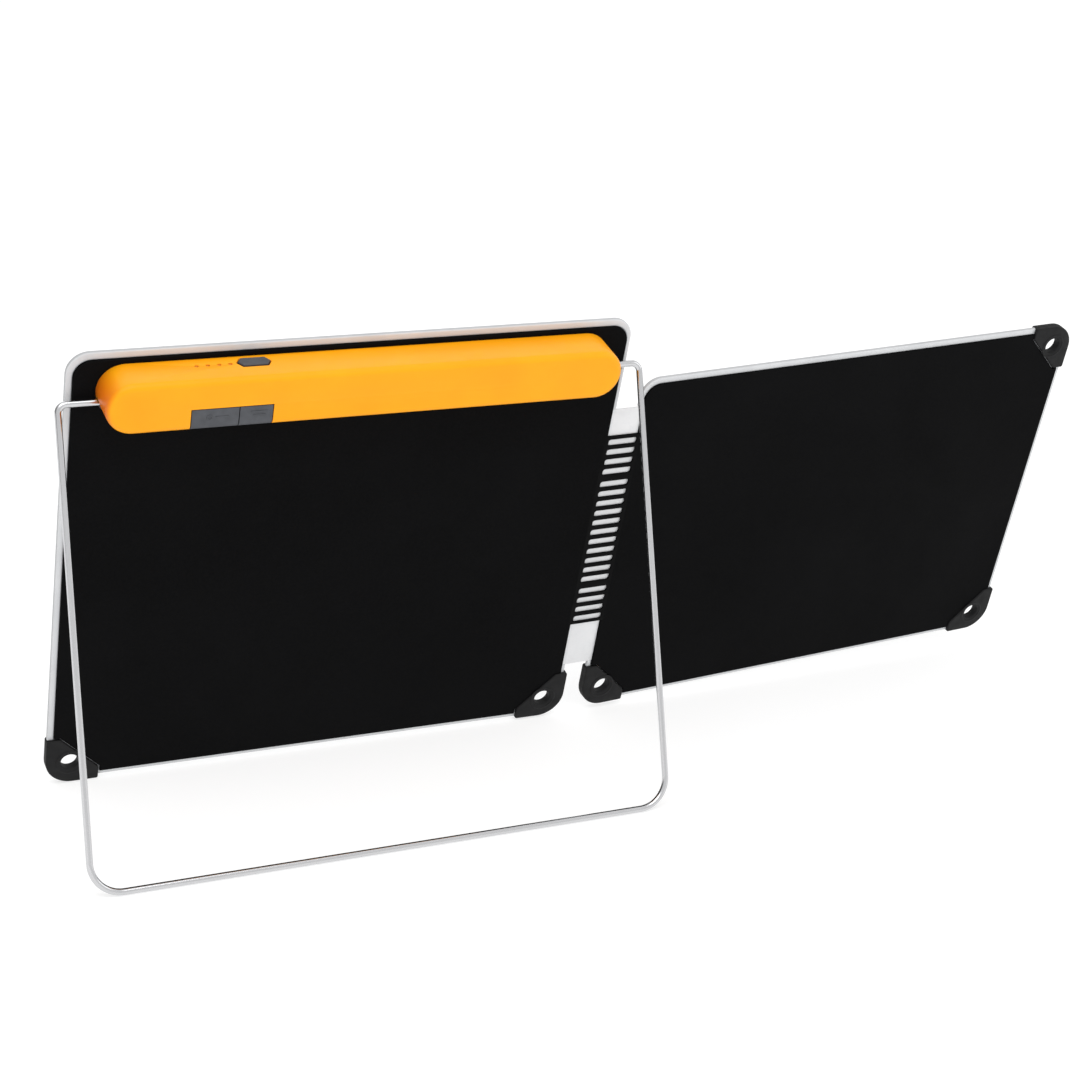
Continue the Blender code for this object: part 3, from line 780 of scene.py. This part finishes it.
def build_back(panel):
    levels = ((0.0, -0.3), (0.0, 0.72), (0.03, 0.85), (0.1, 0.94), (0.22, 0.99), (0.34, BACK_TOP))
    cut = (GUARD_REACH - 0.4, GUARD_SUM + 0.3)
    solid = sheet(panel.inside, panel.guards, cut, levels)
    seat = bmesh.new()
    box(seat, panel.seat, STRIP_Y, (-1.55, 6))
    name, node = "back_sheet_" + panel.side, panel.side + "_back_cover"
    panel_piece(name, shaped(solid, seat), "back", 25, panel, (node,))


def build_film(panel):
    levels = ((0.2, -1.93), (0.04, -1.88), (0.0, -1.8), (0.0, -1.7))
    cut = (CROP_REACH + 1.2, CROP_SUM + 1.7)
    solid = sheet(panel.rect, panel.guards, cut, levels)
    name, node = "laminate_" + panel.side, panel.side + "_face_sheet"
    panel_piece(name, solid, "film", 25, panel, (node,))


CELL_EDGE, CELL_GAP = 6.5, 1.0
CELL_CROP, GUARD_CROP = 1.8, 16.6
CELL_LEVELS = ((0.0, -1.85), (0.0, -1.97), (0.08, -2.02))  # inset, z
RIBBON_AT = (0.27, 0.73)  # shares of a cell's height
RIBBON_LEVELS = ((0.55, -1.95), (0.55, -2.05), (0.42, -2.09))  # half width, z
BUS_LEVELS = ((1.0, -1.85), (1.0, -1.95), (0.85, -1.98))  # half width, z


def build_cells(panel):
    """Cropped silicon cells laminated just proud of the sheet, with ribbons over them
    along x and a bus up each side."""
    columns, rows = panel.grid
    x0, y0, x1, y1 = grown(panel.rect, (CELL_EDGE, CELL_EDGE, -CELL_EDGE, -CELL_EDGE))
    w = (x1 - x0 - CELL_GAP * (columns - 1)) / columns
    h = (y1 - y0 - CELL_GAP * (rows - 1)) / rows
    cells, ribbons = bmesh.new(), bmesh.new()
    for column in range(columns):
        for row in range(rows):
            left, low = x0 + column * (w + CELL_GAP), y0 + row * (h + CELL_GAP)
            here = ("B" if row == 0 else "T" if row == rows - 1 else "") + (
                "L" if column == 0 else "R" if column == columns - 1 else ""
            )
            rings = []
            for inset, z in CELL_LEVELS:

                def corner_shape(key):
                    guarded = key == here and key in panel.guards
                    end = (GUARD_CROP if guarded else CELL_CROP) + inset * 0.4
                    return [(inset, end), (end, inset)]

                rect = (left, low, left + w, low + h)
                rings.append(level(round_corners(rect, corner_shape), z))
            loft(cells, rings)
    shorten = GUARD_CROP - h * RIBBON_AT[0] + 1.2
    for row in range(rows):
        for share in RIBBON_AT:
            y = y0 + row * (h + CELL_GAP) + h * share
            lowest = row == 0 and share == RIBBON_AT[0]
            highest = row == rows - 1 and share == RIBBON_AT[1]
            edge = "B" if lowest else "T" if highest else ""
            left = x0 + shorten if edge + "L" in panel.guards else x0 - 1.4
            right = x1 - shorten if edge + "R" in panel.guards else x1 + 1.4
            strips = [(rectangle((left, right), (y - r, y + r)), z) for r, z in RIBBON_LEVELS]
            loft(ribbons, [level(points, z) for points, z in strips])
    for x in (x0 - 2.3, x1 + 2.3):
        ends = (y0 + 18.5, y1 - 18.5)
        loft(ribbons, [level(rectangle((x - r, x + r), ends), z) for r, z in BUS_LEVELS])
    name = "cells_" + panel.side
    panel_piece(name, cells, "cell", 25, panel)
    panel_piece(name + "_ribbons", ribbons, "ribbon", 25, panel)


def guard_outline(proud):
    """A guard's outline, as distances from the panel's two edges, with rounded ends."""
    px, py = proud
    lx, ly = GUARD_REACH - px, GUARD_REACH - py
    # each corner and its radius
    turns = [
        ((lx, -py), 0.9),
        ((lx, GUARD_SUM - lx), 1.6),
        ((GUARD_SUM - ly, ly), 1.6),
        ((-px, ly), 0.9),
        ((-px, -py), GUARD_R),
    ]
    points = []
    for n, (corner, radius) in enumerate(turns):
        here = Vector(corner)
        before = (Vector(turns[n - 1][0]) - here).normalized()
        after = (Vector(turns[(n + 1) % len(turns)][0]) - here).normalized()
        half = before.angle(after) / 2
        setback = radius / math.tan(half)
        centre = here + (before + after).normalized() * (radius / math.sin(half))
        start, stop = here + before * setback, here + after * setback
        first = math.atan2(start.y - centre.y, start.x - centre.x)
        last = math.atan2(stop.y - centre.y, stop.x - centre.x)
        while last - first > math.pi:
            last -= 2 * math.pi
        while last - first < -math.pi:
            last += 2 * math.pi
        steps = 18 if radius == GUARD_R else 6
        for k in range(steps + 1):
            a = first + (last - first) * k / steps
            points.append((centre.x + radius * math.cos(a), centre.y + radius * math.sin(a)))
    return points


def moved_in(points, distance):
    """The closed outline moved towards its inside."""
    count, out = len(points), []
    area = sum(
        points[i - 1][0] * points[i][1] - points[i][0] * points[i - 1][1] for i in range(count)
    )
    sign = 1 if area > 0 else -1
    for i in range(count):
        a, b, c = (Vector(points[k % count]) for k in (i - 1, i, i + 1))
        normal = Vector((-(b - a).y, (b - a).x)).normalized()
        normal += Vector((-(c - b).y, (c - b).x)).normalized()
        normal = normal / max(normal.length_squared / 2, 0.2)
        out.append((b.x + sign * normal.x * distance, b.y + sign * normal.y * distance))
    return out


GUARD_EDGE = 0.62
EYELET_MOUTH = 0.95  # rounding of the hole's mouth
EYELET_LIP = EYELET_R + 1.9  # radius of the raised lip's middle


def guard_pocket(to_layout):
    """The room inside a guard for the panel's cropped corner."""
    reach, near = GUARD_REACH + 20, CROP_SUM - CROP_REACH - 0.1
    wall, slack = CROP_REACH - 0.25, -0.15
    points = (
        (slack, wall),
        (near, wall),
        (wall, near),
        (wall, slack),
        (reach, slack),
        (reach, reach),
        (slack, reach),
    )
    pocket = bmesh.new()
    loft(pocket, [level(to_layout(points), z) for z in (-PANEL_T - 0.12, 0.06)])
    return pocket


def eyelet_hole(centre):
    middle = (GUARD_TOP + GUARD_LOW) / 2
    profile = [
        (8.6, 20.0),
        (8.6, GUARD_TOP + 1.0),
        (EYELET_R + EYELET_MOUTH + 0.02, GUARD_TOP + 0.02),
    ]
    profile += [
        (EYELET_R + EYELET_MOUTH * (1 - s), GUARD_TOP - EYELET_MOUTH + EYELET_MOUTH * c)
        for c, s in quarter(6)
    ]
    mirrored = [(radius, 2 * middle - z) for radius, z in profile[::-1]]
    hole = bmesh.new()
    lathe(hole, centre, profile + mirrored, "z", 48)
    return hole


def build_guard(name, node, panel, corner, proud):
    """A rubber boot over a corner, with an eyelet; proud is its overhang in x and y."""
    cx, cy, sx, sy = corners(panel.rect)[corner]

    def to_layout(points):
        return [(cx + sx * a, cy + sy * b) for a, b in points]

    r = GUARD_EDGE
    levels = [(r - r * s, GUARD_LOW + r - r * c) for c, s in quarter(5)]
    # a fine groove round the side
    levels += [(0.0, -0.86), (0.1, -0.74), (0.1, -0.66), (0.0, -0.54)]
    levels += [(r - r * c, GUARD_TOP - r + r * s) for c, s in quarter(5)]
    shape = guard_outline(proud)
    solid = bmesh.new()
    loft(solid, [level(to_layout(moved_in(shape, inset)), z) for inset, z in levels])
    centre = (cx + sx * EYELET_AT, cy + sy * EYELET_AT, 0)
    out = shaped(solid, guard_pocket(to_layout), eyelet_hole(centre))
    # a raised lip round the eyelet on both faces
    for side, face in ((1, GUARD_TOP), (-1, GUARD_LOW)):
        ring = []
        for k in range(13):
            a = math.pi * k / 12
            height = face - side * 0.05 + side * 0.3 * math.sin(a)
            ring.append((EYELET_LIP + 0.62 * math.cos(a), height))
        ring += [(EYELET_LIP + d, face - side * 0.3) for d in (-0.62, 0.62)]
        lathe(out, centre, ring, "z", 48, close=True)
    panel_piece(name, out, "guard", 38, panel, (node,))


for panel in (MAIN, WING):
    build_rim(panel)
    build_back(panel)
    build_film(panel)
    build_cells(panel)

build_guard("guard_main_left", "main_corner_left", MAIN, "BL", proud=(0.7, 1.2))
build_guard("guard_main_right", "main_corner_right", MAIN, "BR", proud=(1.2, 0.7))
build_guard("guard_wing_inner", "wing_corner_inner", WING, "BL", proud=(0.8, 1.0))
build_guard("guard_wing_lower", "wing_corner_lower", WING, "BR", proud=(1.2, 0.7))
build_guard("guard_wing_upper", "wing_corner_upper", WING, "TR", proud=(0.7, 0.7))


# ================================================================ hinge strip
SLOT_X, SLOT_W, SLOT_ROUND = (120.9, 135.7), 3.2, 1.15
SLOT_GROUPS = ((4, 5.13), (11, 5.17), (4, 5.17))  # slots and their pitch, top to bottom
GROUP_GAP = 6.6
WEB_X, WEB_Z = (120.1, 135.93), (-0.9, 0.0)
STRIP_Z = (0.02, BACK_TOP)
RIB_X, RIB_HALF, RIB_Z = (123.9, 131.7), 1.9, (-1.7, -0.6)
MIDDLE = 127.8
BEND_HALF, BEND_CUTS = 1.1, 10
BEND_1, BEND_2 = ((axis[0] - BEND_HALF, axis[0] + BEND_HALF) for axis in (AXIS_1, AXIS_2))


def slot_centres():
    centres, start = [], STRIP_Y[1] - 3.3
    for count, pitch in SLOT_GROUPS:
        centres += [start - pitch * k for k in range(count)]
        start = centres[-1] - GROUP_GAP
    return centres


def strip_layer():
    """The black slotted layer, drawn wide and later trimmed flush with the back sheets."""
    solid = bmesh.new()
    box(solid, (114.0, 142.0), STRIP_Y, STRIP_Z)
    slots = bmesh.new()
    for y in slot_centres():
        span = (y - SLOT_W / 2, y + SLOT_W / 2)
        ring = rounded_rectangle(SLOT_X, span, SLOT_ROUND, 5)
        loft(slots, [level(ring, z) for z in (-3, 3)])
    return shaped(solid, slots, bevel=0.18, segments=3, angle=60)


def web_layer():
    """The pale flexible layer, with two ribs on its front that carry the leads."""
    solid = bmesh.new()
    box(solid, WEB_X, WEB_Y, WEB_Z)
    out = shaped(solid, bevel=0.12, segments=2, angle=60)
    centres = slot_centres()
    first_end = SLOT_GROUPS[0][0]
    for after in (first_end, first_end + SLOT_GROUPS[1][0]):
        y = (centres[after - 1] + centres[after]) / 2
        rib = bmesh.new()
        box(rib, RIB_X, (y - RIB_HALF, y + RIB_HALF), RIB_Z)
        rib = shaped(rib, bevel=0.35, segments=3, angle=60)
        mesh = bpy.data.meshes.new("rib")
        rib.to_mesh(mesh)
        rib.free()
        out.from_mesh(mesh)
        bpy.data.meshes.remove(mesh)
    return out


def bisect(solid, x, **clear):
    return bmesh.ops.bisect_plane(
        solid,
        geom=solid.verts[:] + solid.edges[:] + solid.faces[:],
        plane_co=(x, 0, 0),
        plane_no=(1, 0, 0),
        **clear,
    )


def trimmed(solid, x_from, x_to, bend):
    """The part of a layer between two x, cut across the bend so that it can curve."""
    for x, keep_right in ((x_from, True), (x_to, False)):
        found = bisect(solid, x, clear_inner=keep_right, clear_outer=not keep_right)
        rims = [e for e in found["geom_cut"] if isinstance(e, bmesh.types.BMEdge)]
        if rims:
            bmesh.ops.edgeloop_fill(solid, edges=rims)
    for k in range(BEND_CUTS + 1):
        bisect(solid, bend[0] + 2 * BEND_HALF / BEND_CUTS * k)
    bmesh.ops.triangulate(solid, faces=[f for f in solid.faces if len(f.verts) > 4])
    return solid


def bend_layer(obj, near, far, bend):
    """Lays a flat layer onto the standing fold, easing from one place to the other."""
    start, stop = bend
    for vertex in obj.data.vertices:
        flat = vertex.co / MM
        t = min(max((flat.x - start) / (stop - start), 0.0), 1.0)
        t = t * t * (3 - 2 * t)
        vertex.co = MM * ((near @ flat) * (1 - t) + (far @ flat) * t)
    obj.data.update()


def build_layer(label, layer, finish, ends, inner_nodes, outer_nodes):
    """A hinge layer in two halves, each blended across one of the two bends."""

    def half(part, x_from, x_to, bend, nodes):
        solid = trimmed(layer(), x_from, x_to, bend)
        flat = Matrix.Identity(4)
        return piece(label + part, solid, finish, 30, flat, body=None, replaces=nodes)

    inner = half("_inner", ends[0], MIDDLE, BEND_1, inner_nodes)
    outer = half("_outer", MIDDLE, ends[1], BEND_2, outer_nodes)
    bend_layer(inner, main_place, strip_place, BEND_1)
    bend_layer(outer, strip_place, wing_place, BEND_2)
    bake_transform(inner)
    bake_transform(outer)


build_layer(
    "hinge_strip",
    strip_layer,
    "strip",
    STRIP_ENDS,
    inner_nodes=("hinge_comb", "hinge_flange_main"),
    outer_nodes=("hinge_flange_wing",),
)
build_layer(
    "hinge_web",
    web_layer,
    "web",
    (WEB_X[0] - 1, WEB_X[1] + 1),
    inner_nodes=("hinge_web",),
    outer_nodes=(),
)

# ============================================================= battery module
Y_MID = sum(MODULE_Y) / 2
Y_HALF = (MODULE_Y[1] - MODULE_Y[0]) / 2
MODULE_TOP = MODULE_Z[1]
INNER_ROUND = MODULE_ROUND - 1.0
BUTTON_X, BUTTON_Z = (-55.6, -42.1), (3.7, 9.4)
BUTTON_TOP = 204.85  # y where the cap's side ends
LED_X, LED_Z = (-72.4, -67.8, -63.2, -58.6), 6.8
LED_R, LED_TOP = 0.6, 204.2
PORT_X = (-76.7, -57.2, -43.4)  # left end, split between the flaps, right end
PORT_Y, PORT_Z = 192.0, 9.2
FLAP_WALL, FLAP_GAP = 1.3, 0.15
MARK_H = 0.2


def stadium(inset, z):
    radius, straight = Y_HALF - inset, MODULE_X - Y_HALF
    ring = arc(straight, Y_MID, radius, -90, 90, 24)
    return level(ring + arc(-straight, Y_MID, radius, 90, 270, 24), z)


def hexagon(grow, y):
    """The button's outline at one y."""
    (x0, x1), (z0, z1) = BUTTON_X, BUTTON_Z
    middle, point = (z0 + z1) / 2, (z1 - z0) / 2 * 0.6
    return [
        (x0 - grow * 1.2, y, middle),
        (x0 + point - grow * 0.4, y, z0 - grow),
        (x1 - point + grow * 0.4, y, z0 - grow),
        (x1 + grow * 1.2, y, middle),
        (x1 - point + grow * 0.4, y, z1 + grow),
        (x0 + point - grow * 0.4, y, z1 + grow),
    ]


def module_shell():
    """A stadium-shaped shell, open towards the panel."""
    low, top = MODULE_Z
    outer = [stadium(0.25, low), stadium(0.08, low + 0.08), stadium(0, low + 0.25)]
    outer.append(stadium(0, top - MODULE_ROUND))
    for c, s in quarter(10, first=1):
        outer.append(stadium(MODULE_ROUND * (1 - c), top - MODULE_ROUND * (1 - s)))
    roof = top - MODULE_WALL
    inner = [stadium(MODULE_WALL, low), stadium(MODULE_WALL, roof - INNER_ROUND)]
    for c, s in quarter(4, first=1):
        inner.append(stadium(MODULE_WALL + INNER_ROUND * (1 - c), roof - INNER_ROUND * (1 - s)))
    solid = bmesh.new()
    outer_rows, inner_rows = (
        [[solid.verts.new(p) for p in ring] for ring in rings] for rings in (outer, inner)
    )
    for rows in (outer_rows, inner_rows, [outer_rows[0], inner_rows[0]]):
        bridge(solid, rows)
    solid.faces.new(outer_rows[-1])
    solid.faces.new(inner_rows[-1][::-1])
    return solid


def build_cover():
    # the button's window has a softened mouth; growth of the outline, y
    window = bmesh.new()
    mouth = ((0.3, 199.4), (0.3, 204.3), (0.38, 204.5), (0.62, 204.75), (0.62, 208))
    loft(window, [hexagon(grow, y) for grow, y in mouth])
    lights = bmesh.new()
    profile = [(0.72, 199.4), (0.72, 204.4), (0.85, 204.56), (0.95, 204.75), (0.95, 208)]
    for x in LED_X:
        lathe(lights, (x, 0, LED_Z), profile, "y", 20)
    bores = bmesh.new()
    for side in (-1, 1):
        lathe(bores, (0, STAND_Y, STAND_Z), [(2.6, side * 100), (2.6, side * 116)], "x", 28)
    ports = bmesh.new()
    span = (PORT_X[0] - 0.3, PORT_X[2] + 0.3)
    box(ports, span, (178, PORT_Y + 0.3), (PORT_Z - 0.3, 22))
    out = shaped(
        module_shell(), window, lights, bores, ports, bevel=0.22, segments=2, angle=52
    )
    piece("battery_cover", out, "orange", 42, replaces=("module_cover",))


def build_button():
    """A flanged cap with a dished top."""
    levels = [(1.0, 201.6), (1.0, 202.6), (0.0, 202.6), (0.0, BUTTON_TOP)]
    levels += [(-0.45 * (1 - c), BUTTON_TOP + 0.45 * s) for c, s in quarter(4, first=1)]
    levels += [(-1.0, 205.3), (-1.35, 205.18), (-1.8, 205.14)]
    solid = bmesh.new()
    loft(solid, [hexagon(grow, y) for grow, y in levels])
    out = shaped(solid, bevel=0.2, segments=3, angle=48)
    piece(
        "button_cap", out, "control", 40, body="button", replaces=("power_button",)
    )


def build_lights():
    """A light pipe with four domed ends."""
    solid = bmesh.new()
    span = (LED_X[0] - 1.6, LED_X[-1] + 1.6)
    box(solid, span, (200.0, 202.3), (LED_Z - 0.9, LED_Z + 0.9))
    pipe = shaped(solid, bevel=0.3, segments=2, angle=50)
    profile = [(LED_R, 201.9), (LED_R, LED_TOP)]
    for a in (math.radians(angle) for angle in (20, 40, 60, 80)):
        profile.append((LED_R * math.cos(a), LED_TOP + 0.3 * math.sin(a)))
    for x in LED_X:
        lathe(pipe, (x, 0, LED_Z), profile, "y", 20)
    piece("indicator_lights", pipe, "light", 40, replaces=("light_pipe",))


def flap_section():
    """The (y, z) section of a port flap, which follows the module's rounded edge."""
    y0, y1, z0, z1 = MODULE_Y[0], PORT_Y, PORT_Z, MODULE_TOP
    r, wall = MODULE_ROUND, FLAP_WALL
    inner = r - wall
    section = [(y1, z1 - 0.12), (y1 - 0.12, z1)]
    section += [(y0 + r - r * s, z1 - r + r * c) for c, s in quarter(8)]
    section += [(y0, z0 + 0.2), (y0 + 0.2, z0), (y0 + wall, z0), (y0 + wall, z1 - r)]
    section += [
        (y0 + wall + inner - inner * c, z1 - r + inner * s) for c, s in quarter(4, first=1)
    ]
    return section + [(y1, z1 - wall)]


def raised_bar(solid, x, y):
    """A small rounded bar standing on a flap's outer face."""
    half = min(x[1] - x[0], y[1] - y[0]) / 2
    rings = []
    for inset, dz in ((0.0, -0.2), (0.0, MARK_H * 0.6), (0.1, MARK_H)):
        spans = [(low + inset, high - inset) for low, high in (x, y)]
        rings.append(
            level(rounded_rectangle(*spans, half * 0.9 - inset, 3), MODULE_TOP + dz)
        )
    loft(solid, rings)


def raised_ring(solid, x, y):
    # radius, height over the flap's face
    profile = (
        (1.25, -0.2), (1.25, 0.12), (1.15, MARK_H), (0.85, MARK_H), (0.75, 0.12), (0.75, -0.2)
    )
    profile = [(radius, MODULE_TOP + height) for radius, height in profile]
    lathe(solid, (x, y, 0), profile, "z", 24, close=True)


def build_flap(name, node, span, body, rings=(), bars=()):
    """A port flap with a round notch in its lower edge; the marks tell the two apart."""
    solid = bmesh.new()
    extrude_x(solid, flap_section(), span)
    notch = bmesh.new()
    ends = (MODULE_Y[0] - 3, MODULE_Y[0] + 0.7)
    lathe(notch, (sum(span) / 2, 0, PORT_Z - 0.4), [(1.5, y) for y in ends], "y", 24)
    out = shaped(solid, notch, bevel=0.18, segments=2, angle=55)
    for centre in rings:
        raised_ring(out, *centre)
    for bar in bars:
        raised_bar(out, *bar)
    piece(name, out, "control", 40, body=body, replaces=(node,))


def build_bezel():
    """A shelf behind the flaps, with openings for the two sockets."""
    # y, z
    section = [
        (184.05, 9.5), (184.05, 16.6), (184.25, 17.1), (184.75, 17.3), (193.4, 17.3),
        (193.4, 16.7), (184.9, 16.7), (184.65, 16.5), (184.65, 9.5),
    ]
    solid = bmesh.new()
    extrude_x(solid, section, (PORT_X[0] - 0.9, PORT_X[2] + 0.9))
    openings = bmesh.new()
    # centre x and z, width, height
    for x, z, w, h in ((-66.6, 13.2, 13.6, 6.2), (-49.4, 11.8, 8.4, 3.6)):
        box(openings, (x - w / 2, x + w / 2), (180, 185.6), (z - h / 2, z + h / 2))
    out = shaped(solid, openings, bevel=0.12, segments=2, angle=50)
    piece("port_bezel", out, "tray")


def build_sockets():
    """Contact tongues inside the sockets, and the contacts on them."""
    tongues = bmesh.new()
    box(tongues, (-71.6, -61.6), (186.0, 197.0), (13.3, 14.9))
    box(tongues, (-51.6, -47.2), (185.7, 190.4), (11.5, 12.2))
    out = shaped(tongues, bevel=0.15, segments=2, angle=50)
    piece("socket_tongues", out, "tray")
    contacts = bmesh.new()
    # count, first x, pitch, half width, y range, z range
    for count, first, pitch, half, y, z in (
        (4, -70.1, 2.35, 0.5, (186.6, 195.0), (13.12, 13.4)),
        (5, -50.7, 0.65, 0.18, (186.0, 190.0), (12.1, 12.3)),
    ):
        for k in range(count):
            x = first + pitch * k
            box(contacts, (x - half, x + half), y, z)
    out = shaped(contacts, bevel=0.06, segments=2, angle=50)
    piece("socket_contacts", out, "contact")


build_cover()
build_button()
build_lights()
build_flap(
    "flap_output",
    "port_flap_left",
    (PORT_X[0], PORT_X[1] - FLAP_GAP),
    "flap_left",
    rings=((-69.4, 188.2),),
    bars=(((-67.1, -61.5), (187.85, 188.55)),),
)
build_flap(
    "flap_input",
    "port_flap_right",
    (PORT_X[1] + FLAP_GAP, PORT_X[2]),
    "flap_right",
    bars=(((-52.6, -45.4), (189.2, 189.8)), ((-51.6, -46.4), (187.6, 188.2))),
)
build_bezel()
build_sockets()


# ================================================================= wire stand
STAND_TOP, STAND_FOOT, STAND_L = 126.06, 127.82, 194.04  # half widths, length
WIRE_R, WIRE_SIDES, WIRE_STEP = 1.4, 28, 6.0
WIRE_END = 102.8  # x of the ends, inside the module
BEND_TOP, BEND_FOOT = 3.6, 13.0


def wire_path():
    """The wire's middle line from its +x end to its -x end, with short straight steps."""
    splay = math.degrees(math.atan2(STAND_FOOT - STAND_TOP, STAND_L))
    half = [(WIRE_END, 0.0)]
    half += arc(STAND_TOP - BEND_TOP, -BEND_TOP, BEND_TOP, 90, splay, 14)
    half += arc(STAND_FOOT - BEND_FOOT, -STAND_L + BEND_FOOT, BEND_FOOT, splay, -90, 24)
    path = half + [(-x, y) for x, y in half[::-1]]
    dense = [path[0]]
    for a, b in zip(path, path[1:]):
        parts = max(1, round(math.dist(a, b) / WIRE_STEP))
        for k in range(1, parts + 1):
            dense.append((a[0] + (b[0] - a[0]) * k / parts, a[1] + (b[1] - a[1]) * k / parts))
    return dense


def build_stand():
    """The wire; its UV map runs u along it in centimetres and v once round it."""
    path = wire_path()
    solid = bmesh.new()
    layer = solid.loops.layers.uv.new("along")
    rows, lengths, run = [], [], 0.0
    for n, (x, y) in enumerate(path):
        before, after = Vector(path[max(n - 1, 0)]), Vector(path[min(n + 1, len(path) - 1)])
        along = (after - before).normalized()
        across = Vector((-along.y, along.x))
        if n:
            run += math.dist(path[n - 1], path[n])
        lengths.append(run)
        row = []
        for k in range(WIRE_SIDES):
            a = 2 * math.pi * k / WIRE_SIDES
            out = WIRE_R * math.cos(a)
            point = (x + out * across.x, y + out * across.y, WIRE_R * math.sin(a))
            row.append(solid.verts.new(point))
        rows.append(row)
    for n in range(len(rows) - 1):
        for k in range(WIRE_SIDES):
            j = (k + 1) % WIRE_SIDES
            face = solid.faces.new((rows[n][k], rows[n][j], rows[n + 1][j], rows[n + 1][k]))
            near, far = lengths[n], lengths[n + 1]
            spots = ((near, k), (near, k + 1), (far, k + 1), (far, k))
            for loop, (u, v) in zip(face.loops, spots):
                loop[layer].uv = (u / 10.0, v / WIRE_SIDES)
    solid.faces.new(rows[0][::-1])
    solid.faces.new(rows[-1])
    piece(
        "wire_stand", solid, "wire", 50, stand_place, "kick_stand", ("stand_wire",)
    )


build_stand()


# ================================================================ studio, in metres
def build_floor():
    solid = bmesh.new()
    bmesh.ops.create_grid(solid, x_segments=8, y_segments=8, size=7.0)
    mesh = bpy.data.meshes.new("studio_floor")
    solid.to_mesh(mesh)
    solid.free()
    mesh.materials.append(floor_finish())
    floor = bpy.data.objects.new("studio_floor", mesh)
    floor.location = (0, 2.0, -0.0003)
    bpy.context.scene.collection.objects.link(floor)


def build_world():
    """Even light with a dark flag to the camera's left, which gives the wire and the
    module's end a shaded side."""
    world = bpy.data.worlds.new("studio_world")
    bpy.context.scene.world = world
    world.use_nodes = True
    tree = world.node_tree
    background = tree.nodes["Background"]
    background.inputs["Strength"].default_value = 0.9
    direction = add_node(tree, "TexCoord").outputs["Generated"]
    flag_side = (-0.902, 0.431, 0.0)
    toward = add_node(
        tree, "VectorMath", {0: direction, 1: flag_side}, operation="DOT_PRODUCT"
    )
    inputs = {
        "Value": toward.outputs["Value"],
        "From Min": 0.55,
        "From Max": 0.85,
        "To Min": 1.0,
        "To Max": 0.35,
    }
    flag = add_node(tree, "MapRange", inputs)
    feed(tree, background.inputs["Color"], flag.outputs["Result"])


def area_light(name, place, aim, size, power):
    lamp = bpy.data.lights.new(name, "AREA")
    lamp.shape, lamp.energy = "RECTANGLE", power
    lamp.size, lamp.size_y = size
    obj = bpy.data.objects.new(name, lamp)
    obj.location = place
    obj.rotation_mode = "QUATERNION"
    obj.rotation_quaternion = (Vector(aim) - Vector(place)).to_track_quat("-Z", "Y")
    bpy.context.scene.collection.objects.link(obj)


def build_camera():
    place = (-0.449773, -0.856177, 0.469645)
    heading, down, roll = -25.770, 20.871, 3.745  # degrees
    data = bpy.data.cameras.new("photo_camera")
    data.sensor_fit, data.sensor_width, data.lens = "HORIZONTAL", 36.0, 77.39
    data.clip_start, data.clip_end = 0.05, 60.0
    camera = bpy.data.objects.new("photo_camera", data)
    camera.matrix_world = Matrix.Translation(place) @ (
        Matrix.Rotation(math.radians(heading), 4, "Z")
        @ Matrix.Rotation(math.radians(90 - down), 4, "X")
        @ Matrix.Rotation(math.radians(roll), 4, "Z")
    )
    bpy.context.scene.collection.objects.link(camera)
    bpy.context.scene.camera = camera


build_floor()
build_world()
area_light("key_softbox", (-0.5, -0.9, 1.9), aim=(0, 0, 0.08), size=(1.6, 1.2), power=15)
area_light("fill_softbox", (1.4, -0.8, 1.1), aim=(0, 0, 0.1), size=(1.0, 1.0), power=3)
area_light("rim_softbox", (0.2, 1.4, 1.3), aim=(0, 0, 0.1), size=(1.6, 0.8), power=2)
bpy.context.scene.view_settings.view_transform = "Standard"
build_camera()

bpy.context.view_layer.update()
